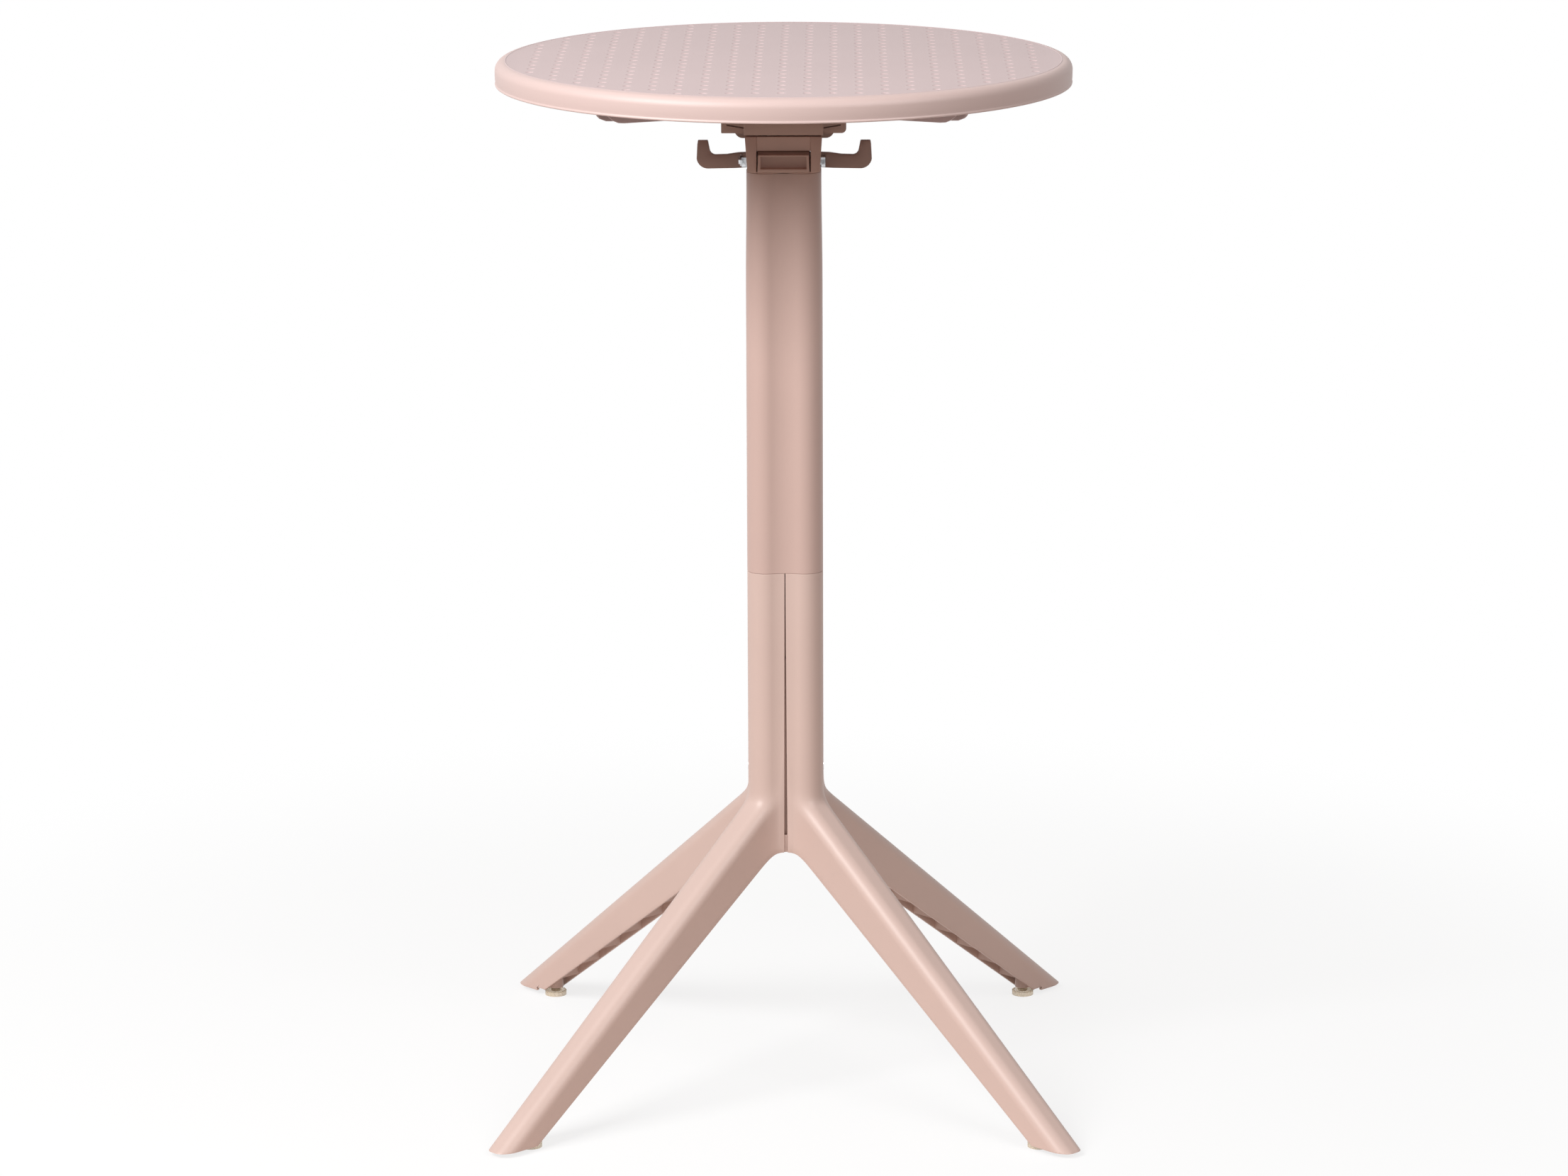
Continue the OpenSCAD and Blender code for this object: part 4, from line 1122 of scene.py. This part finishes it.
# %% Clamp bosses and webs
CLAMP_BOSS_R = 9
CLAMP_BOSSES = ((CLAMP_LOW, -36.4), (CLAMP_HIGH, -32))
HALF_GAP = 0.3
WEB_LEVELS = (400, 440)
WEB_T, WEB_INSET, WEB_HOLE_R = 3, 2.0, 14
BESIDE_SPLIT = -1.7


def web(z):
    """Half a plate across the column, with a round hole."""
    outer = lobed_section(WEB_INSET)
    angle = np.arctan2(outer[:, 1], outer[:, 0])
    hole = np.column_stack([np.cos(angle), np.sin(angle)]) * WEB_HOLE_R
    plate = ring_skin("web", [(outer, z), (outer, z + WEB_T), (hole, z + WEB_T), (hole, z)])
    return cut(plate, (BESIDE_SPLIT, 0, 0), (1, 0, 0))


inner += [drum("clamp_boss", CLAMP_BOSS_R, x, -HALF_GAP, (0, z), along_x=True) for z, x in CLAMP_BOSSES]
inner += [web(z) for z in WEB_LEVELS]
left_half = join("left_leg_shell", [left_shell, join("leg_inner", inner)])
print("left half", len(left_half.data.polygons), "faces")

# %% The right half, and what closes the split
SPLIT_LAPS = (
    ((-8, 6), (30.5, 32.85), 464.5),
    ((-8, BESIDE_SPLIT), (30.5, 34), 464.5),
    ((-8, 1.55), (33.4, 36.4), 271),
)

right_half = flipped(copied(left_half, "right_leg_shell"), (1, 0, 0))
laps = []
for face in (1, -1):
    for (left, right), depths, top in SPLIT_LAPS:
        near, far = sorted(y * face for y in depths)
        laps.append(block("lap", (left, near, ARCH_Z), (right, far, top), edge=FINE_EDGE))
left_half = join("left_leg_shell", [left_half, join("laps", laps)])
for half, node in ((left_half, "left_leg_half"), (right_half, "right_leg_half")):
    dress(smooth(half, 40), "base", "column_plastic", pink_plastic, node)

# %% [markdown]
# ## Softened castings
#
# The head, bracket, lever and hooks have the right shapes in CAD, but edges as sharp as a drawing. They
# could be modelled again, and nothing would be gained. So a copy of each is sewn together, its flat faces
# are merged, and a small bevel catches the light along the edges, as a mould's rounded corners do. The
# bracket's wings also get the dark line of a slot, and the head's collar follows the column's taper.

# %% A softened copy of a CAD node
CAD_SEAM = 0.000005
CASTING_ANGLE = 35


def softened(node, name, width=0.6):
    """The copy leaves its parent and sheds the marks of a CAD node, so it can ride by itself."""
    copy = copied(nodes[node], name)
    copy.parent = None
    for key in list(copy.keys()):
        del copy[key]
    sew(copy, CAD_SEAM, outwards=False)
    edit(copy)
    bpy.ops.mesh.dissolve_limited(angle_limit=math.radians(1))
    leave_edit()
    return smooth(soften(copy, width, CASTING_ANGLE), 32)


# %% The bracket, with its wings' dark lines
LINE_X = (41.5, 59.2)
LINE_Z = (1028.1, 1031.1)
LINE_HALF = 0.7
LINE_Y = (-21, -16.6)


def wing_line(side):
    """A slot in the wing's front face that drops towards the skirt."""
    low, high = zip(LINE_X, LINE_Y, (-LINE_HALF, LINE_HALF))
    tool = block("wing_line", low, high, edge=0)
    at = points_of(tool)
    at[:, 2] += np.interp(at[:, 0] / MM, LINE_X, LINE_Z) * MM
    at[:, 0] *= side
    place_points(tool, at)
    return sew(tool)


bracket = softened("tilt_bracket", "bracket_casting")
for side in (-1, 1):
    cut_out(bracket, wing_line(side))
# painted shade: the bracket takes a darker brown for the shade under the top
dress(smooth(bracket, 32), "top", "head_plastic", bracket_painted_shade_plastic, "tilt_bracket")

# %% The head, the lever and the hooks
COLLAR_TOP = 985.4
COLLAR_SKIN = -1.3
COLLAR_SCALE = 0.974
HOOK_EDGE = 0.7

# painted shade: the head, lever and hooks below take darker browns for the shade under the top
head = softened("column_head", "head_casting")
at = points_of(head)
collar = (at[:, 2] < COLLAR_TOP * MM) & (lobed_distance(at[:, 0] / MM, at[:, 1] / MM) > COLLAR_SKIN)
at[collar, :2] *= COLLAR_SCALE
place_points(head, at)
dress(head, "base", "head_plastic", head_plastic, "column_head")
dress(softened("release_lever", "lever_casting"), "lever", "head_plastic", head_plastic, "release_lever")
for side in ("left", "right"):
    hook = softened(f"{side}_bag_hook", f"{side}_hook_casting", HOOK_EDGE)
    dress(hook, "base", "hook_plastic", hook_plastic, f"{side}_bag_hook")

# %% [markdown]
# ## Finishes of the CAD nodes
#
# Screws, bolts, washers and glides are turned or stamped from steel, or moulded. They could be modelled again
# with their threads, but these would be too small to see. So they keep their CAD shapes and get a finish by
# the material slot that the record gives each. The steel parts in the dark behind the lever get a dark grey
# instead, painted shade for the dark they sit in, because bright ones would glint through its gap.

# %% Finishes of the CAD nodes that stay
# painted shade: head_plastic and hook_plastic carry the darker browns for the shade under the top
FINISHES = {
    "stainless": stainless_steel, "zinc_steel": zinc_steel, "bush_plastic": bush_plastic,
    "glide_plastic": glide_plastic, "head_plastic": head_plastic, "hook_plastic": hook_plastic,
    "column_plastic": pink_plastic, "top_plastic": top_plastic,
}
IN_THE_DARK = ("latch_keeper", "keeper_screws", "latch_pin", "latch_spring")
for sub_part in frame["record"]["subparts"]:
    name = sub_part["node"]
    finish = painted_shade_steel if name in IN_THE_DARK else FINISHES[sub_part["material_slot"]]
    nodes[name].data.materials.clear()
    nodes[name].data.materials.append(finish)

# %% [markdown]
# ## The studio
#
# The table stands on a white floor. More light would make the floor white, but would bleach the table too. So
# a glow that only the camera, mirror and glass rays see is mixed into the floor, which keeps the table's soft
# shadow, and the same rays see a white world. The light is a broad box in front on the left, a weaker one on
# the right and a faint one overhead. The first two stand above the table's height, so the top throws the deep
# shade over the head that the photograph shows.

# %% The floor
SHADOW_GLOW = 0.8
NEAR_TONE = rgb(0.85, 0.7, 0.62)
FAR_TONE = rgb(0.3, 0.25, 0.22)
FAR_FROM, FAR_TO = 0.55, 1.5
FLOOR_SIZE = 40
WHITE = rgb(1, 1, 1)


def floor_material():
    """Warm under the table and darker far away for the light it throws back, but white to the camera."""
    paint = Paint(bpy.data.materials.new("studio_floor"))
    seen = paint.seen()
    place = paint.node("ShaderNodeTexCoord", output="Object")
    distance = paint.node("ShaderNodeVectorMath", {"operation": "LENGTH"}, {0: place}, "Value")
    ends = {"Value": distance, "From Min": FAR_FROM, "From Max": FAR_TO}
    far = paint.node("ShaderNodeMapRange", {"interpolation_type": "SMOOTHSTEP"}, ends)
    lit = Value(paint, paint.shader.outputs[0])
    glow = paint.node("ShaderNodeEmission")
    share = seen * (far * (1 - SHADOW_GLOW) + SHADOW_GLOW)
    surface = paint.node("ShaderNodeMixShader", None, {0: share, 1: lit, 2: glow})
    paint.feed(paint.tree.nodes["Material Output"].inputs["Surface"], surface)
    return paint.finish(Base_Color=paint.mix(seen, paint.mix(far, NEAR_TONE, FAR_TONE), WHITE), Roughness=1.0)


let_go()
bpy.ops.mesh.primitive_plane_add(size=FLOOR_SIZE)
floor = named("floor")
floor.data.materials.append(floor_material())

# %% The world
WORLD_LIGHT = 0.14
WARM = rgb(1, 0.85, 0.77)

world = bpy.data.worlds.new("studio")
bpy.context.scene.world = world
sky = Paint(world, "Background")
seen = sky.seen()
sky.finish(Color=sky.mix(seen, WARM, WHITE), Strength=seen * (1 - WORLD_LIGHT) + WORLD_LIGHT)


# %% Lamps
LAMP_AIM = Vector((0, 0, 0.8))


def soft_box(name, azimuth, elevation, distance, size, power):
    """A rectangular lamp that faces the table's middle; azimuth is counted from the camera's side."""
    data = bpy.data.lights.new(name, "AREA")
    data.shape = "RECTANGLE"
    data.size, data.size_y = size
    data.energy = power
    lamp = bpy.data.objects.new(name, data)
    bpy.context.scene.collection.objects.link(lamp)
    a, e = math.radians(azimuth), math.radians(elevation)
    way = Vector((math.sin(a) * math.cos(e), -math.cos(a) * math.cos(e), math.sin(e)))
    lamp.location = LAMP_AIM + distance * way
    lamp.rotation_euler = way.to_track_quat("Z", "Y").to_euler()
    print(name, power, "W")


soft_box("key_box", -48, 35, 4.0, (2.4, 1.9), 176)
soft_box("fill_box", 40, 34, 4.2, (2.2, 1.9), 54)
soft_box("sky_box", 0, 82, 3.0, (2.5, 2.5), 3)
bpy.context.scene.view_settings.view_transform = "Standard"
